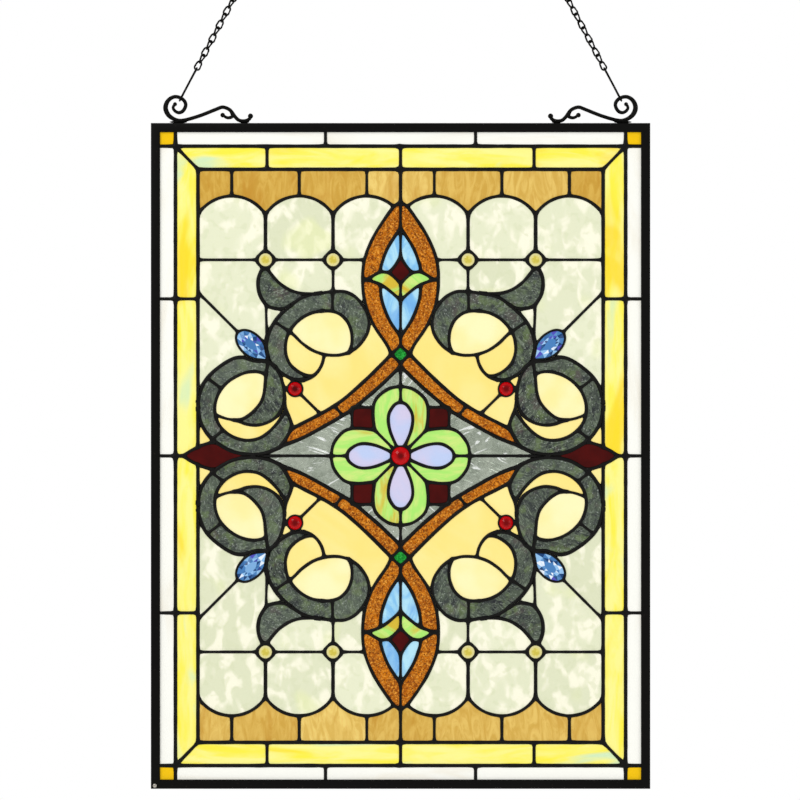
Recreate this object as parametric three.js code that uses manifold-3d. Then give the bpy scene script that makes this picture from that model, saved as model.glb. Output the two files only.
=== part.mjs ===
// A hanging leaded-glass panel: a black channel frame, a net of leads, glass and jewels set in it,
// two wire scrolls on the top bar, and two hooks and chains that hold the panel up.
// Millimetres, +Z up, the front faces -Y. The origin lies midway between the two top chain rings.

import * as THREE from "three";
import { mergeVertices } from "three/addons/utils/BufferGeometryUtils.js";
import Module from "manifold-3d";

const wasm = await Module();
wasm.setup();

// Panel and frame
const PANEL_WIDTH = 457.2;
const PANEL_HEIGHT = 609.6;
const FRAME_FACE = 8.4;
const FRAME_DEPTH = 9;
const CHANNEL_BITE = 4;
const GLASS_THICKNESS = 3;
const CLEARANCE = 0.3;

// Borders and rows, from the frame inwards
const WHITE_BAND_SIDE = 14;
const WHITE_BAND_TOP = 12.7;
const YELLOW_BAND_SIDE = 20.6;
const YELLOW_BAND_TOP = 21.2;
const TAN_ROW = 24.5;
const ARCH_RISE = 17;
const ARCH_COUNT = 6;
const YELLOW_JOINT_SHARE = 0.659;
const SIDE_JOINT_SHARE = 0.507;

// Leads
const LEAD_STAND = 1.5;
const LEAD_WIDTH = 3.6;
const THICK_LEAD = 4.2;
const THIN_LEAD = 3.1;
const GLASS_GAP = 1.2;
const CURVE_SAG = 1.7;
const STEPS_PER_SPAN = 6;
const ARCH_STEPS = 4;
const END_OVERRUN = 0.3;
const STEEPEST_MITRE = 0.6;

// Jewels
const RUBY_RADIUS = 6.7;
const CENTRE_JEWEL_RADIUS = 7.8;
const GOLD_JEWEL_RADIUS = 6.5;
const JEWEL_RISE = 3.4;
const TABLE_SHARE = 0.6;
const BEZEL_WALL = 1.7;
const BEZEL_SIDES = 6;
const JEWEL_SIDES = 8;
const TEARDROP_LENGTH = 34;
const TEARDROP_WIDTH = 18;
const TEARDROP_TURN = 42;
const TEARDROP_STEPS = 10;
const TEARDROP_BEVEL = 2;
const TIP_CLEARANCE = 1;
const TIP_BEZEL = 4;

// Wire scrolls on the top bar
const SCROLL_WIRE = 3.4;
const SCROLL_BALL = 2.5;
const LEAF_WIRE = 3.1;
const LEAF_BALL = 2.3;
const FOOT_TAPER = 0.5;
const WIRE_SIDES = 4;

// Hooks and chains
const HOOK_WIRE = 1.6;
const HOOK_REACH = 29.5;
const HOOK_INSET = 27.4;
const HOOK_HEIGHT = 23;
const CHAIN_WIRE = 1.7;
const CHAIN_LINK_LENGTH = 10.3;
const CHAIN_LINK_WIDTH = 7;
const CHAIN_LINKS = 12;
const CHAIN_LEAN = 27.8;
const END_RING_RADIUS = 6;
const LINK_BITE = 0.2;
const LINK_SIDES = 4;
const LOOP_STEPS = 6;
const QUARTER_TURN = 90;
const LINK_REACH = CHAIN_LINK_LENGTH - CHAIN_WIRE;
const LINK_STEP = LINK_REACH - CHAIN_WIRE + LINK_BITE;

// The cartoon is drawn for one quarter of the field that the borders leave. Its points are thousandths
// of the field's half width outwards and of its half height upwards.
const CARTOON_UNITS = 1000;

// Places in the cartoon
const CENTRE_PLACE = [0, 0];
const RUBY_PLACE = [521, 233.9];
const GOLD_PLACES = [[1000 / 3, 684.2], [2000 / 3, 684.2]];
const TEARDROP_TIP = [670.3, 345.9];
const ALMOND_SHOULDER = [32.3, 869.3];
const ALMOND_TIP = [0, 886.9];
const LEAF_CROSSING = [1002.2, 29.7];

// A scroll's wire, from its curled inner end over the big round to the ball at its foot, and the little
// leaf under its arm, as insets from the side of the panel and heights over the top bar
const SCROLL_LINE = [
  [21.9, 17.5], [20.1, 14.8], [21.4, 11.7], [25.0, 9.7], [28.5, 10.7], [31.1, 14.2], [31.6, 18.4],
  [28.5, 22.4], [22.9, 24.4], [17.9, 22.9], [14.3, 18.8], [13.3, 13.2], [16.3, 7.1], [22.9, 3.1],
  [30.1, 2.8], [44.3, 6.8], [59.6, 12.8], [65.7, 14.8], [72.3, 12.2], [76.9, 6.1], [81.0, 2.5],
  [86.6, 2.2], [90.1, 4.0], [91.1, 6.6],
];
const SCROLL_LEAF = [[73.7, 10.5], [74.6, 6.4], [70.0, 5.0], [65.6, 7.5]];

// A scroll's feet: inset, height and length
const SCROLL_FEET = [[25, 3.2, 13], [85.5, 2, 9]];

// The greatest value of sin t times sin t / 2, which the teardrop's outline follows
const TEARDROP_PEAK = 4 / (3 * Math.sqrt(3));

// Half the side of the probe that finds a piece of glass
const PROBE = 0.4;

const LEFT_RIGHT = [["left", -1], ["right", 1]];
const UPPER_LOWER = [["upper", 1], ["lower", -1]];
const QUARTERS = UPPER_LOWER.flatMap(([level, up]) => LEFT_RIGHT.map(([side, out]) => ({
  name: `${side}_${level}`, out, up,
})));

const CURVED = "curved";
const STRAIGHT = "straight";
const FUSED = "the glass runs on under it";
const PARTED = "the glass is parted under it";

// Lead lines of the upper right quarter: name, width, run, the glass on its two sides, and points
const LEADS = [
  ["jewel line", THIN_LEAD, STRAIGHT, FUSED, [[1000, 684.2], [177.8, 684.2]]],
  ["inner jewel to scroll", THIN_LEAD, STRAIGHT, FUSED, [[333.3, 684.2], [333.3, 567.2]]],
  ["horn to scroll", THIN_LEAD, STRAIGHT, FUSED, [[681.6, 541.9], [649.8, 411.4]]],
  ["border to teardrop", THIN_LEAD, STRAIGHT, FUSED, [[1000, 569.1], [814.7, 440]]],
  ["horn outside", THICK_LEAD, CURVED, FUSED, [
    [666.5, 653], [703.7, 628.6], [708.5, 600.4], [689.1, 555], [641.7, 528.8], [587.8, 520.4],
    [538.3, 527.2],
  ]],
  ["horn inside", LEAD_WIDTH, CURVED, FUSED, [
    [666.5, 653], [612.1, 605.7], [543.1, 577.9], [469.3, 563.8], [390.1, 567.2], [330.8, 567.2],
  ]],
  ["upper ring outside", THICK_LEAD, CURVED, FUSED, [
    [538.3, 527.2], [590, 492.2], [632, 446.9], [649.2, 408.4], [659.5, 340.6],
  ]],
  ["knot", THICK_LEAD, STRAIGHT, FUSED, [[659.5, 340.6], [619.6, 312.4]]],
  ["upper ring foot", THICK_LEAD, CURVED, FUSED, [[619.6, 312.4], [585.1, 289.9], [538.3, 273.9], [474.1, 269]]],
  ["upper ring inside", LEAD_WIDTH, CURVED, FUSED, [
    [380.4, 504.4], [459.1, 488.8], [513.5, 457.5], [545.8, 419], [562, 369.9], [543.1, 329.9],
    [508.6, 298.7], [474.1, 269],
  ]],
  ["upper crescent outside", LEAD_WIDTH, CURVED, FUSED, [
    [330.8, 567.2], [261.9, 560.4], [199.9, 530.7], [165.4, 481.9], [168.1, 425.9], [202.6, 387.4],
    [259.2, 363],
  ]],
  ["upper crescent inside", LEAD_WIDTH, CURVED, FUSED, [
    [380.4, 504.4], [321.1, 494.1], [276.4, 467.8], [254.3, 425.9], [259.2, 363],
  ]],
  ["oval underside", LEAD_WIDTH, CURVED, FUSED, [
    [259.2, 363], [326, 354.3], [385.2, 356.2], [459.1, 377.1], [513.5, 406.9], [548, 432.8],
  ]],
  ["lens edge", LEAD_WIDTH, CURVED, FUSED, [[474.1, 269], [439.7, 281.1], [407.3, 309], [385.2, 356.2]]],
  ["lower ring outside", THICK_LEAD, CURVED, FUSED, [
    [659.5, 340.6], [740.8, 347.4], [839.4, 336.8], [918.6, 302.1], [977.9, 248], [1000, 177.9],
    [982.8, 110.1], [923.5, 52.2],
  ]],
  ["lower ring underside", THICK_LEAD, CURVED, PARTED, [
    [923.5, 52.2], [829.7, 15.6], [725.8, 4.6], [656.8, 12.6], [597.5, 31.2], [565.2, 61], [539.9, 90.7],
  ]],
  ["lower ring inside", LEAD_WIDTH, CURVED, FUSED, [
    [670.8, 315.8], [740.8, 296.8], [814.7, 284.6], [873.9, 261.7], [915.9, 225.1], [926.7, 177.9], [915.9, 132.6],
    [873.9, 94.1], [812.5, 68.2], [740.8, 61], [676.7, 75], [617.5, 108.2], [564.7, 157],
  ]],
  ["lower crescent outside", LEAD_WIDTH, CURVED, FUSED, [
    [619.6, 312.4], [590, 261.7], [577.6, 213], [582.4, 174.5], [617.5, 139.8], [681.6, 117],
    [740.8, 113.5], [809.8, 131],
  ]],
  ["lower crescent inside", LEAD_WIDTH, CURVED, FUSED, [
    [670.8, 315.8], [669.2, 265.5], [683.7, 209.5], [720.9, 167.6], [765.6, 144.8], [809.8, 131],
  ]],
  ["ring end to ribbon", THICK_LEAD, CURVED, FUSED, [
    [577.6, 206.1], [570.6, 174.5], [560.3, 143.2], [539.9, 90.7],
  ]],
  ["ruby to ribbon", THIN_LEAD, STRAIGHT, FUSED, [[521, 233.9], [399.8, 146.7]]],
  ["almond outside", LEAD_WIDTH, CURVED, PARTED, [
    [0, 886.9], [32.3, 869.3], [69, 836.2], [133.1, 764.6], [175.1, 691.4], [187.5, 617.9], [175.1, 534.1],
    [133.1, 457.5], [69, 389.3], [32.3, 356.2],
  ]],
  ["almond inside, top", LEAD_WIDTH, CURVED, PARTED, [
    [0, 797], [56.6, 729.5], [86.2, 673.9], [96.4, 638.9],
  ]],
  ["almond inside, foot", LEAD_WIDTH, CURVED, PARTED, [
    [96.4, 595.4], [86.2, 541.3], [51.7, 474.7], [0, 414.9],
  ]],
  ["almond top joint", THIN_LEAD, STRAIGHT, FUSED, [[0, 886.9], [0, 797]]],
  ["garnet top", THIN_LEAD, CURVED, PARTED, [[0, 696.4], [26.9, 665.1], [56.6, 640]]],
  ["garnet foot", THIN_LEAD, STRAIGHT, FUSED, [[56.6, 640], [0, 601.9]]],
  ["leaf top", LEAD_WIDTH, CURVED, PARTED, [[56.6, 640], [98.6, 638.1], [157.9, 613.3]]],
  ["leaf underside", LEAD_WIDTH, CURVED, PARTED, [[157.9, 613.3], [91.6, 595.4], [39.3, 569.1], [0, 541.3]]],
  ["ribbon top", THICK_LEAD, CURVED, PARTED, [
    [32.3, 356.2], [60.9, 336.8], [148.2, 270.5], [246.8, 209.5], [380.4, 146.7], [539.9, 90.7],
  ]],
  ["ribbon underside", THICK_LEAD, CURVED, PARTED, [
    [0, 315.8], [54.4, 275.8], [113.7, 235.8], [192.3, 188.6], [259.2, 152], [378.2, 102.9], [483.8, 62.9],
    [597.5, 31.2],
  ]],
  ["emerald top", THIN_LEAD, STRAIGHT, PARTED, [[0, 382.5], [32.3, 356.2]]],
  ["emerald foot", THIN_LEAD, STRAIGHT, PARTED, [[32.3, 356.2], [0, 324.6]]],
  ["lobe side, upright", LEAD_WIDTH, CURVED, PARTED, [
    [0, 243.4], [64.1, 232], [121.2, 197.3], [135.8, 152], [128.2, 90.7],
  ]],
  ["lobe side, level", LEAD_WIDTH, CURVED, PARTED, [
    [344.3, 0], [328.1, 45.3], [279.1, 85.7], [215, 96], [128.2, 90.7],
  ]],
  ["corner block", THIN_LEAD, STRAIGHT, PARTED, [[130.9, 169.5], [239.8, 169.5], [239.8, 92.6]]],
  ["lobe valley", THIN_LEAD, STRAIGHT, FUSED, [[128.2, 90.7], [34.5, 24.4]]],
  ["petal side, upright", LEAD_WIDTH, CURVED, PARTED, [
    [11.9, 21], [51.7, 87.2], [59.3, 139.8], [32.3, 176.4], [0, 188.6],
  ]],
  ["petal side, level", LEAD_WIDTH, CURVED, PARTED, [
    [29.6, 8.4], [123.4, 36.6], [197.7, 41.9], [249.5, 22.9], [266.7, 0],
  ]],
  ["upright seam", THIN_LEAD, STRAIGHT, FUSED, [[0, 188.6], [0, 315.8]]],
  ["level seam", THIN_LEAD, STRAIGHT, FUSED, [[266.7, 0], [809.8, 0]]],
  ["ring touch", LEAD_WIDTH, STRAIGHT, PARTED, [[725.8, 0], [725.8, 5.3]]],
  ["crescent to almond", LEAD_WIDTH, STRAIGHT, FUSED, [[185.3, 513.1], [157.9, 501]]],
  ["side leaf tip", LEAD_WIDTH, CURVED, PARTED, [[1073.8, 0], [1037.2, 17.5], [1002.2, 29.7]]],
  ["side leaf", LEAD_WIDTH, CURVED, PARTED, [[1002.2, 29.7], [967.7, 40], [923.5, 48.8]]],
];

// Where each glass of a quarter, a level, a side and the middle shows, in the cartoon
const QUARTER_GLASS = [
  ["field_glass", 0xf1f0dc, [840.5, 761.9]],
  ["corner_block_glass", 0x550c0a, [185.9, 131.4]],
];
const LEVEL_GLASS = [
  ["tan_row_glass", 0xd8b058, [247.8, 960]],
  ["almond_glass", 0xc8690f, [140.1, 666.7]],
  ["ribbon_glass", 0xc8690f, [107.8, 289.5]],
  ["emerald_glass", 0x14823c, [4.3, 356.2]],
  ["heart_blue_glass", 0x9cd4fa, [26.9, 716.2]],
  ["heart_drop_glass", 0x9cd4fa, [43.1, 521.9]],
  ["heart_leaf_glass", 0xbef578, [72.7, 615.2]],
  ["petal_glass", 0xcdcdf0, [8.1, 121.9]],
  ["ripple_glass", 0x96a096, [43.1, 266.7]],
];
const SIDE_GLASS = [
  ["leaf_glass", 0x550c0a, [959.1, 1.9]],
  ["ripple_glass", 0x96a096, [409.5, 30.5]],
  ["petal_glass", 0xcdcdf0, [172.4, 5.7]],
];
const MIDDLE_GLASS = [
  ["lobe_glass", 0xbef578, [97, 205.7]],
];

// Places worked out from the sizes above
const INNER_X = PANEL_WIDTH / 2 - FRAME_FACE;
const INNER_Z = PANEL_HEIGHT / 2 - FRAME_FACE;
const WHITE_X = INNER_X - WHITE_BAND_SIDE;
const WHITE_Z = INNER_Z - WHITE_BAND_TOP;
const FIELD_X = WHITE_X - YELLOW_BAND_SIDE;
const FIELD_Z = WHITE_Z - YELLOW_BAND_TOP;
const GLASS_FRONT = -GLASS_THICKNESS / 2;
const GLASS_BACK = GLASS_THICKNESS / 2;
const LEAD_BACK = GLASS_FRONT - CLEARANCE;
const LEAD_FRONT = LEAD_BACK - LEAD_STAND;
const CHAIN_DIRECTION = new THREE.Vector3(
  -Math.sin(THREE.MathUtils.degToRad(CHAIN_LEAN)), 0, Math.cos(THREE.MathUtils.degToRad(CHAIN_LEAN)),
);

// A point of the cartoon on the field
function onField([x, z]) {
  return new THREE.Vector2(x * FIELD_X / CARTOON_UNITS, z * FIELD_Z / CARTOON_UNITS);
}

// Keeps only the points that hold a line within CURVE_SAG of its curve
function thinned(points) {
  const first = points[0];
  const last = points[points.length - 1];
  const chord = last.clone().sub(first);
  let worst = 0;
  let worstAt = 0;
  points.forEach((point, i) => {
    const away = Math.abs(chord.cross(point.clone().sub(first))) / (chord.length() || 1);
    if (away > worst) {
      worst = away;
      worstAt = i;
    }
  });
  if (worst <= CURVE_SAG) return [first, last];
  return [...thinned(points.slice(0, worstAt + 1)).slice(0, -1), ...thinned(points.slice(worstAt))];
}

// A line through cartoon points: straight from point to point, or one smooth curve
function run(points, kind) {
  const placed = points.map(onField);
  if (kind === STRAIGHT) return placed;
  return thinned(new THREE.SplineCurve(placed).getPoints(placed.length * STEPS_PER_SPAN));
}

// The outline of a band of one width along a line, mitred at its corners and run on a little at its ends
function band(line, width) {
  const along = line.map((point, i) => {
    const before = i > 0 ? point.clone().sub(line[i - 1]).normalize() : null;
    const after = i < line.length - 1 ? line[i + 1].clone().sub(point).normalize() : null;
    return { before: before ?? after, after: after ?? before };
  });
  const overrun = width * END_OVERRUN;
  const left = [];
  const right = [];
  line.forEach((point, i) => {
    const { before, after } = along[i];
    const across = new THREE.Vector2(-before.y - after.y, before.x + after.x).normalize();
    const mitre = Math.max(across.x * -after.y + across.y * after.x, STEEPEST_MITRE);
    const end = i === 0 ? -overrun : i === line.length - 1 ? overrun : 0;
    const centre = point.clone().addScaledVector(after, end);
    left.push(centre.clone().addScaledVector(across, width / 2 / mitre));
    right.unshift(centre.clone().addScaledVector(across, -width / 2 / mitre));
  });
  return [...left, ...right];
}

function ring(radius, sides) {
  return Array.from({ length: sides }, (_, i) => {
    const angle = (i + 0.5) / sides * 2 * Math.PI;
    return new THREE.Vector2(radius * Math.cos(angle), radius * Math.sin(angle));
  });
}

function rectangle(halfWidth, halfHeight) {
  const signs = [[-1, -1], [1, -1], [1, 1], [-1, 1]];
  return signs.map(([x, z]) => new THREE.Vector2(x * halfWidth, z * halfHeight));
}

// A flat plate of one outline that stands between two depths
function plate(outline, back, front) {
  const shape = new THREE.Shape(outline);
  const geometry = new THREE.ExtrudeGeometry(shape, { depth: back - front, bevelEnabled: false });
  geometry.rotateX(Math.PI / 2);
  geometry.translate(0, back, 0);
  return geometry;
}

function solid(geometry) {
  geometry.deleteAttribute("normal");
  geometry.deleteAttribute("uv");
  const merged = mergeVertices(geometry);
  return new wasm.Manifold(new wasm.Mesh({
    numProp: 3,
    vertProperties: merged.attributes.position.array,
    triVerts: Uint32Array.from(merged.index.array),
  }));
}

function joined(solids) {
  return solids.reduce((whole, piece) => whole.add(piece));
}

function mesh(name, shape, material) {
  const { vertProperties, triVerts } = shape.getMesh();
  const geometry = new THREE.BufferGeometry();
  geometry.setAttribute("position", new THREE.BufferAttribute(vertProperties, 3));
  geometry.setIndex(new THREE.BufferAttribute(triVerts, 1));
  geometry.computeVertexNormals();
  const made = new THREE.Mesh(geometry, material);
  made.name = name;
  return made;
}

function glassOf(color) {
  return new THREE.MeshStandardMaterial({ color, roughness: 0.25, metalness: 0 });
}

const blackFinish = new THREE.MeshStandardMaterial({ color: 0x15130f, roughness: 0.5, metalness: 0.3 });
const leadFinish = new THREE.MeshStandardMaterial({ color: 0x1b1815, roughness: 0.4, metalness: 0.6 });

// The same points in another quarter of the panel
function mirrored(points, out, up) {
  return points.map((point) => new THREE.Vector2(point.x * out, point.y * up));
}

// A line in each quarter that it isn't its own mirror image in
function inQuarters(points) {
  const outs = points.every((point) => point.x === 0) ? [1] : [1, -1];
  const ups = points.every((point) => point.y === 0) ? [1] : [1, -1];
  return outs.flatMap((out) => ups.map((up) => mirrored(points, out, up)));
}

// The teardrop jewel's outline, grown by outset all round and by tipOutset at its point
function teardrop(outset, tipOutset) {
  const half = TEARDROP_LENGTH / 2;
  const spread = TEARDROP_WIDTH / 2 / TEARDROP_PEAK;
  const outline = [new THREE.Vector2(-tipOutset, 0)];
  for (let i = 1; i < TEARDROP_STEPS; i += 1) {
    const turn = 2 * Math.PI * i / TEARDROP_STEPS;
    const rise = Math.sin(turn / 2);
    const slope = Math.cos(turn) * rise + Math.sin(turn) * Math.cos(turn / 2) / 2;
    const outwards = new THREE.Vector2(-spread * slope, half * Math.sin(turn)).normalize();
    const place = new THREE.Vector2(half * (1 - Math.cos(turn)), spread * Math.sin(turn) * rise);
    outline.push(place.addScaledVector(outwards, outset));
  }
  const tip = onField(TEARDROP_TIP);
  const turn = THREE.MathUtils.degToRad(TEARDROP_TURN);
  return outline.map((point) => point.rotateAround(new THREE.Vector2(), turn).add(tip));
}

// A round jewel's outline at a cartoon point
function roundSeat(place, radius, sides) {
  const centre = onField(place);
  return ring(radius / Math.cos(Math.PI / sides), sides).map((point) => point.add(centre));
}

// Every jewel seat of the upper right quarter: the hole that the jewel sits in and the bezel's rim
function seats() {
  const rounds = [
    [CENTRE_PLACE, CENTRE_JEWEL_RADIUS],
    [RUBY_PLACE, RUBY_RADIUS],
    ...GOLD_PLACES.map((place) => [place, GOLD_JEWEL_RADIUS]),
  ];
  const wall = CLEARANCE + BEZEL_WALL;
  return [
    { hole: teardrop(CLEARANCE, TIP_CLEARANCE), rim: teardrop(wall, TIP_BEZEL) },
    ...rounds.map(([place, radius]) => ({
      hole: roundSeat(place, radius + CLEARANCE, JEWEL_SIDES),
      rim: roundSeat(place, radius + wall, BEZEL_SIDES),
    })),
  ];
}

// The straight leads of the borders and the tan row, as [line, width, whether parted glass meets there]
function borderLeads() {
  const third = WHITE_X / 3;
  const sideJoint = WHITE_Z * SIDE_JOINT_SHARE;
  const leafHeight = onField(LEAF_CROSSING).y;
  const yellowJoint = FIELD_X * YELLOW_JOINT_SHARE;
  const rows = [
    [[0, WHITE_Z], [INNER_X, WHITE_Z], THICK_LEAD, true],
    [[WHITE_X, 0], [WHITE_X, INNER_Z], THICK_LEAD, true],
    [[third, WHITE_Z], [third, INNER_Z], LEAD_WIDTH, false],
    [[WHITE_X, sideJoint], [INNER_X, sideJoint], LEAD_WIDTH, false],
    [[WHITE_X, 0], [INNER_X, 0], LEAD_WIDTH, false],
    [[0, FIELD_Z], [FIELD_X, FIELD_Z], THICK_LEAD, true],
    [[FIELD_X, leafHeight], [FIELD_X, FIELD_Z], THICK_LEAD, true],
    [[FIELD_X, FIELD_Z], [WHITE_X, WHITE_Z], LEAD_WIDTH, false],
    [[0, FIELD_Z], [0, WHITE_Z], LEAD_WIDTH, false],
    [[yellowJoint, FIELD_Z], [yellowJoint, WHITE_Z], LEAD_WIDTH, false],
    [[FIELD_X, sideJoint], [WHITE_X, sideJoint], LEAD_WIDTH, false],
  ];
  return rows.map(([start, end, width, parted]) => ({
    line: [new THREE.Vector2(...start), new THREE.Vector2(...end)], width, parted,
  }));
}

// The arches under the tan row, and the short uprights from their crowns to the border
function archLeads() {
  const pitch = 2 * FIELD_X / ARCH_COUNT;
  const crown = FIELD_Z - TAN_ROW;
  const radius = (ARCH_RISE ** 2 + (pitch / 2) ** 2) / (2 * ARCH_RISE);
  const leads = [];
  for (let i = 0; i < ARCH_COUNT / 2; i += 1) {
    const centre = (i + 0.5) * pitch;
    const start = i === 0 ? onField(ALMOND_SHOULDER).x - centre : -pitch / 2;
    const line = [];
    for (let step = 0; step <= ARCH_STEPS; step += 1) {
      const x = start + (pitch / 2 - start) * step / ARCH_STEPS;
      line.push(new THREE.Vector2(centre + x, crown - radius + Math.sqrt(radius ** 2 - x ** 2)));
    }
    if (i === 0) {
      line[0] = onField(ALMOND_SHOULDER);
    } else {
      leads.push({ line: [line[0], onField(GOLD_PLACES[i - 1])], width: LEAD_WIDTH, parted: false });
    }
    leads.push({ line, width: LEAD_WIDTH, parted: true });
    leads.push({
      line: [new THREE.Vector2(centre, crown), new THREE.Vector2(centre, FIELD_Z)],
      width: i === 0 ? THIN_LEAD : LEAD_WIDTH,
      parted: false,
    });
  }
  leads.push({
    line: [new THREE.Vector2(0, onField(ALMOND_TIP).y), new THREE.Vector2(0, FIELD_Z)],
    width: LEAD_WIDTH,
    parted: false,
  });
  return leads;
}

function cartoonLeads() {
  return LEADS.map(([, width, kind, sides, points]) => ({
    line: run(points, kind), width, parted: sides === PARTED,
  }));
}

const allLeads = [...borderLeads(), ...archLeads(), ...cartoonLeads()];

// The net of leads on the front of the glass, with a bezel round each jewel
function leadNet() {
  const depths = [LEAD_BACK, LEAD_FRONT];
  const bars = allLeads.flatMap(({ line, width }) => (
    inQuarters(line).map((part) => solid(plate(band(part, width), ...depths)))
  ));
  const rims = seats().flatMap(({ rim }) => (
    inQuarters(rim).map((part) => solid(plate(part, ...depths)))
  ));
  const holes = seats().flatMap(({ hole }) => (
    inQuarters(hole).map((part) => solid(plate(part, GLASS_BACK, LEAD_FRONT - 1)))
  ));
  const inside = solid(plate(rectangle(INNER_X - CLEARANCE, INNER_Z - CLEARANCE), ...depths));
  return joined([...bars, ...rims]).subtract(joined(holes)).intersect(inside);
}

// The glass sheet, parted where one glass meets another
function glassPieces() {
  const bite = CHANNEL_BITE - CLEARANCE;
  const sheet = solid(plate(rectangle(INNER_X + bite, INNER_Z + bite), GLASS_BACK, GLASS_FRONT));
  const through = [GLASS_BACK + 1, GLASS_FRONT - 1];
  const gaps = allLeads.filter(({ parted }) => parted).flatMap(({ line }) => (
    inQuarters(line).map((part) => solid(plate(band(part, GLASS_GAP), ...through)))
  ));
  const holes = seats().flatMap(({ hole }) => (
    inQuarters(hole).map((part) => solid(plate(part, ...through)))
  ));
  return sheet.subtract(joined([...gaps, ...holes])).decompose();
}

// The piece of glass that shows at one place
function pieceAt(pieces, place) {
  const { x, y } = place;
  const probe = solid(plate(rectangle(PROBE, PROBE).map((corner) => corner.add(place)), PROBE, -PROBE));
  return pieces.find((piece) => {
    const { min, max } = piece.boundingBox();
    const near = x > min[0] && x < max[0] && y > min[2] && y < max[2];
    return near && !piece.intersect(probe).isEmpty();
  });
}

function glassMeshes() {
  const pieces = glassPieces();
  const wanted = [
    ["white_border_glass", 0xfffdfa, new THREE.Vector2((INNER_X + WHITE_X) / 2, WHITE_Z / 3)],
    ["yellow_border_glass", 0xfaeb50, new THREE.Vector2((WHITE_X + FIELD_X) / 2, WHITE_Z / 3)],
    ...MIDDLE_GLASS.map(([kind, color, place]) => [kind, color, onField(place)]),
    ...LEVEL_GLASS.flatMap(([kind, color, place]) => UPPER_LOWER.map(([level, up]) => (
      [`${level}_${kind}`, color, mirrored([onField(place)], 1, up)[0]]
    ))),
    ...SIDE_GLASS.flatMap(([kind, color, place]) => LEFT_RIGHT.map(([side, out]) => (
      [`${side}_${kind}`, color, mirrored([onField(place)], out, 1)[0]]
    ))),
    ...QUARTER_GLASS.flatMap(([kind, color, place]) => QUARTERS.map(({ name, out, up }) => (
      [`${name}_${kind}`, color, mirrored([onField(place)], out, up)[0]]
    ))),
  ];
  return wanted.map(([name, color, place]) => mesh(name, pieceAt(pieces, place), glassOf(color)));
}

// The black channel: a bar all round, grooved inside for the edge of the panel
function frame() {
  const front = -FRAME_DEPTH / 2;
  const bar = solid(plate(rectangle(PANEL_WIDTH / 2, PANEL_HEIGHT / 2), FRAME_DEPTH / 2, front));
  const opening = solid(plate(rectangle(INNER_X, INNER_Z), FRAME_DEPTH, -FRAME_DEPTH));
  const slot = GLASS_THICKNESS / 2 + CLEARANCE;
  const groove = solid(plate(rectangle(INNER_X + CHANNEL_BITE, INNER_Z + CHANNEL_BITE), slot, -slot));
  return mesh("frame", bar.subtract(opening).subtract(groove), blackFinish);
}

// A domed round jewel: a girdle that fills its seat and a cushion top towards the front
function roundJewel(name, centre, radius, color) {
  const profile = [
    [0, GLASS_FRONT], [radius, GLASS_FRONT], [radius, -LEAD_FRONT],
    [radius * TABLE_SHARE, GLASS_BACK + JEWEL_RISE], [0, GLASS_BACK + JEWEL_RISE],
  ].map(([x, y]) => new THREE.Vector2(x, y));
  const geometry = new THREE.LatheGeometry(profile, JEWEL_SIDES);
  geometry.rotateX(Math.PI);
  geometry.rotateY(Math.PI / JEWEL_SIDES);
  geometry.translate(centre.x, 0, centre.y);
  return mesh(name, solid(geometry), glassOf(color));
}

// A teardrop jewel, cut with one row of facets round its table
function teardropJewel(name, out, up) {
  const outline = mirrored(teardrop(0, 0), out, up);
  const geometry = new THREE.ExtrudeGeometry(new THREE.Shape(outline), {
    depth: GLASS_THICKNESS, bevelThickness: TEARDROP_BEVEL, bevelSize: TEARDROP_BEVEL,
    bevelOffset: -TEARDROP_BEVEL, bevelSegments: 1,
  });
  geometry.rotateX(Math.PI / 2);
  geometry.translate(0, GLASS_BACK, 0);
  return mesh(name, solid(geometry), glassOf(0x8fb8f0));
}

function jewels() {
  return [
    roundJewel("centre_jewel", onField(CENTRE_PLACE), CENTRE_JEWEL_RADIUS, 0xb01420),
    ...QUARTERS.flatMap(({ name, out, up }) => [
      roundJewel(`${name}_ruby_jewel`, mirrored([onField(RUBY_PLACE)], out, up)[0], RUBY_RADIUS, 0xb01420),
      teardropJewel(`${name}_teardrop_jewel`, out, up),
      ...["inner", "outer"].map((reach, i) => roundJewel(
        `${name}_${reach}_gold_jewel`, mirrored([onField(GOLD_PLACES[i])], out, up)[0], GOLD_JEWEL_RADIUS, 0xe8d27a,
      )),
    ]),
  ];
}

// A round wire along points in the panel's own plane
function wireAlong(points, wire) {
  const curve = new THREE.CatmullRomCurve3(points.map(([x, z]) => new THREE.Vector3(x, 0, z)));
  return solid(new THREE.ExtrudeGeometry(new THREE.Shape(ring(wire / 2, WIRE_SIDES)), {
    extrudePath: curve, steps: points.length, bevelEnabled: false,
  }));
}

function ball([x, z], radius) {
  const geometry = new THREE.SphereGeometry(radius, 6, 4);
  geometry.translate(x, 0, z);
  return solid(geometry);
}

// One wire scroll on the top bar, standing on two soldered feet
function scroll(side, out) {
  const top = PANEL_HEIGHT / 2;
  const place = ([inset, rise]) => [out * (PANEL_WIDTH / 2 - inset), top + rise];
  const feet = SCROLL_FEET.map(([inset, rise, length]) => {
    const [x] = place([inset, 0]);
    const pad = [[-1, 0], [1, 0], [FOOT_TAPER, 1], [-FOOT_TAPER, 1]].map(([across, up]) => (
      new THREE.Vector2(x + across * length / 2, top + CLEARANCE + up * (rise - CLEARANCE))
    ));
    return solid(plate(pad, SCROLL_WIRE / 2, -SCROLL_WIRE / 2));
  });
  const shape = joined([
    wireAlong(SCROLL_LINE.map(place), SCROLL_WIRE),
    wireAlong(SCROLL_LEAF.map(place), LEAF_WIRE),
    ball(place(SCROLL_LINE[SCROLL_LINE.length - 1]), SCROLL_BALL),
    ball(place(SCROLL_LEAF[SCROLL_LEAF.length - 1]), LEAF_BALL),
    ...feet,
  ]);
  return mesh(`${side}_scroll`, shape, blackFinish);
}

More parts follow.
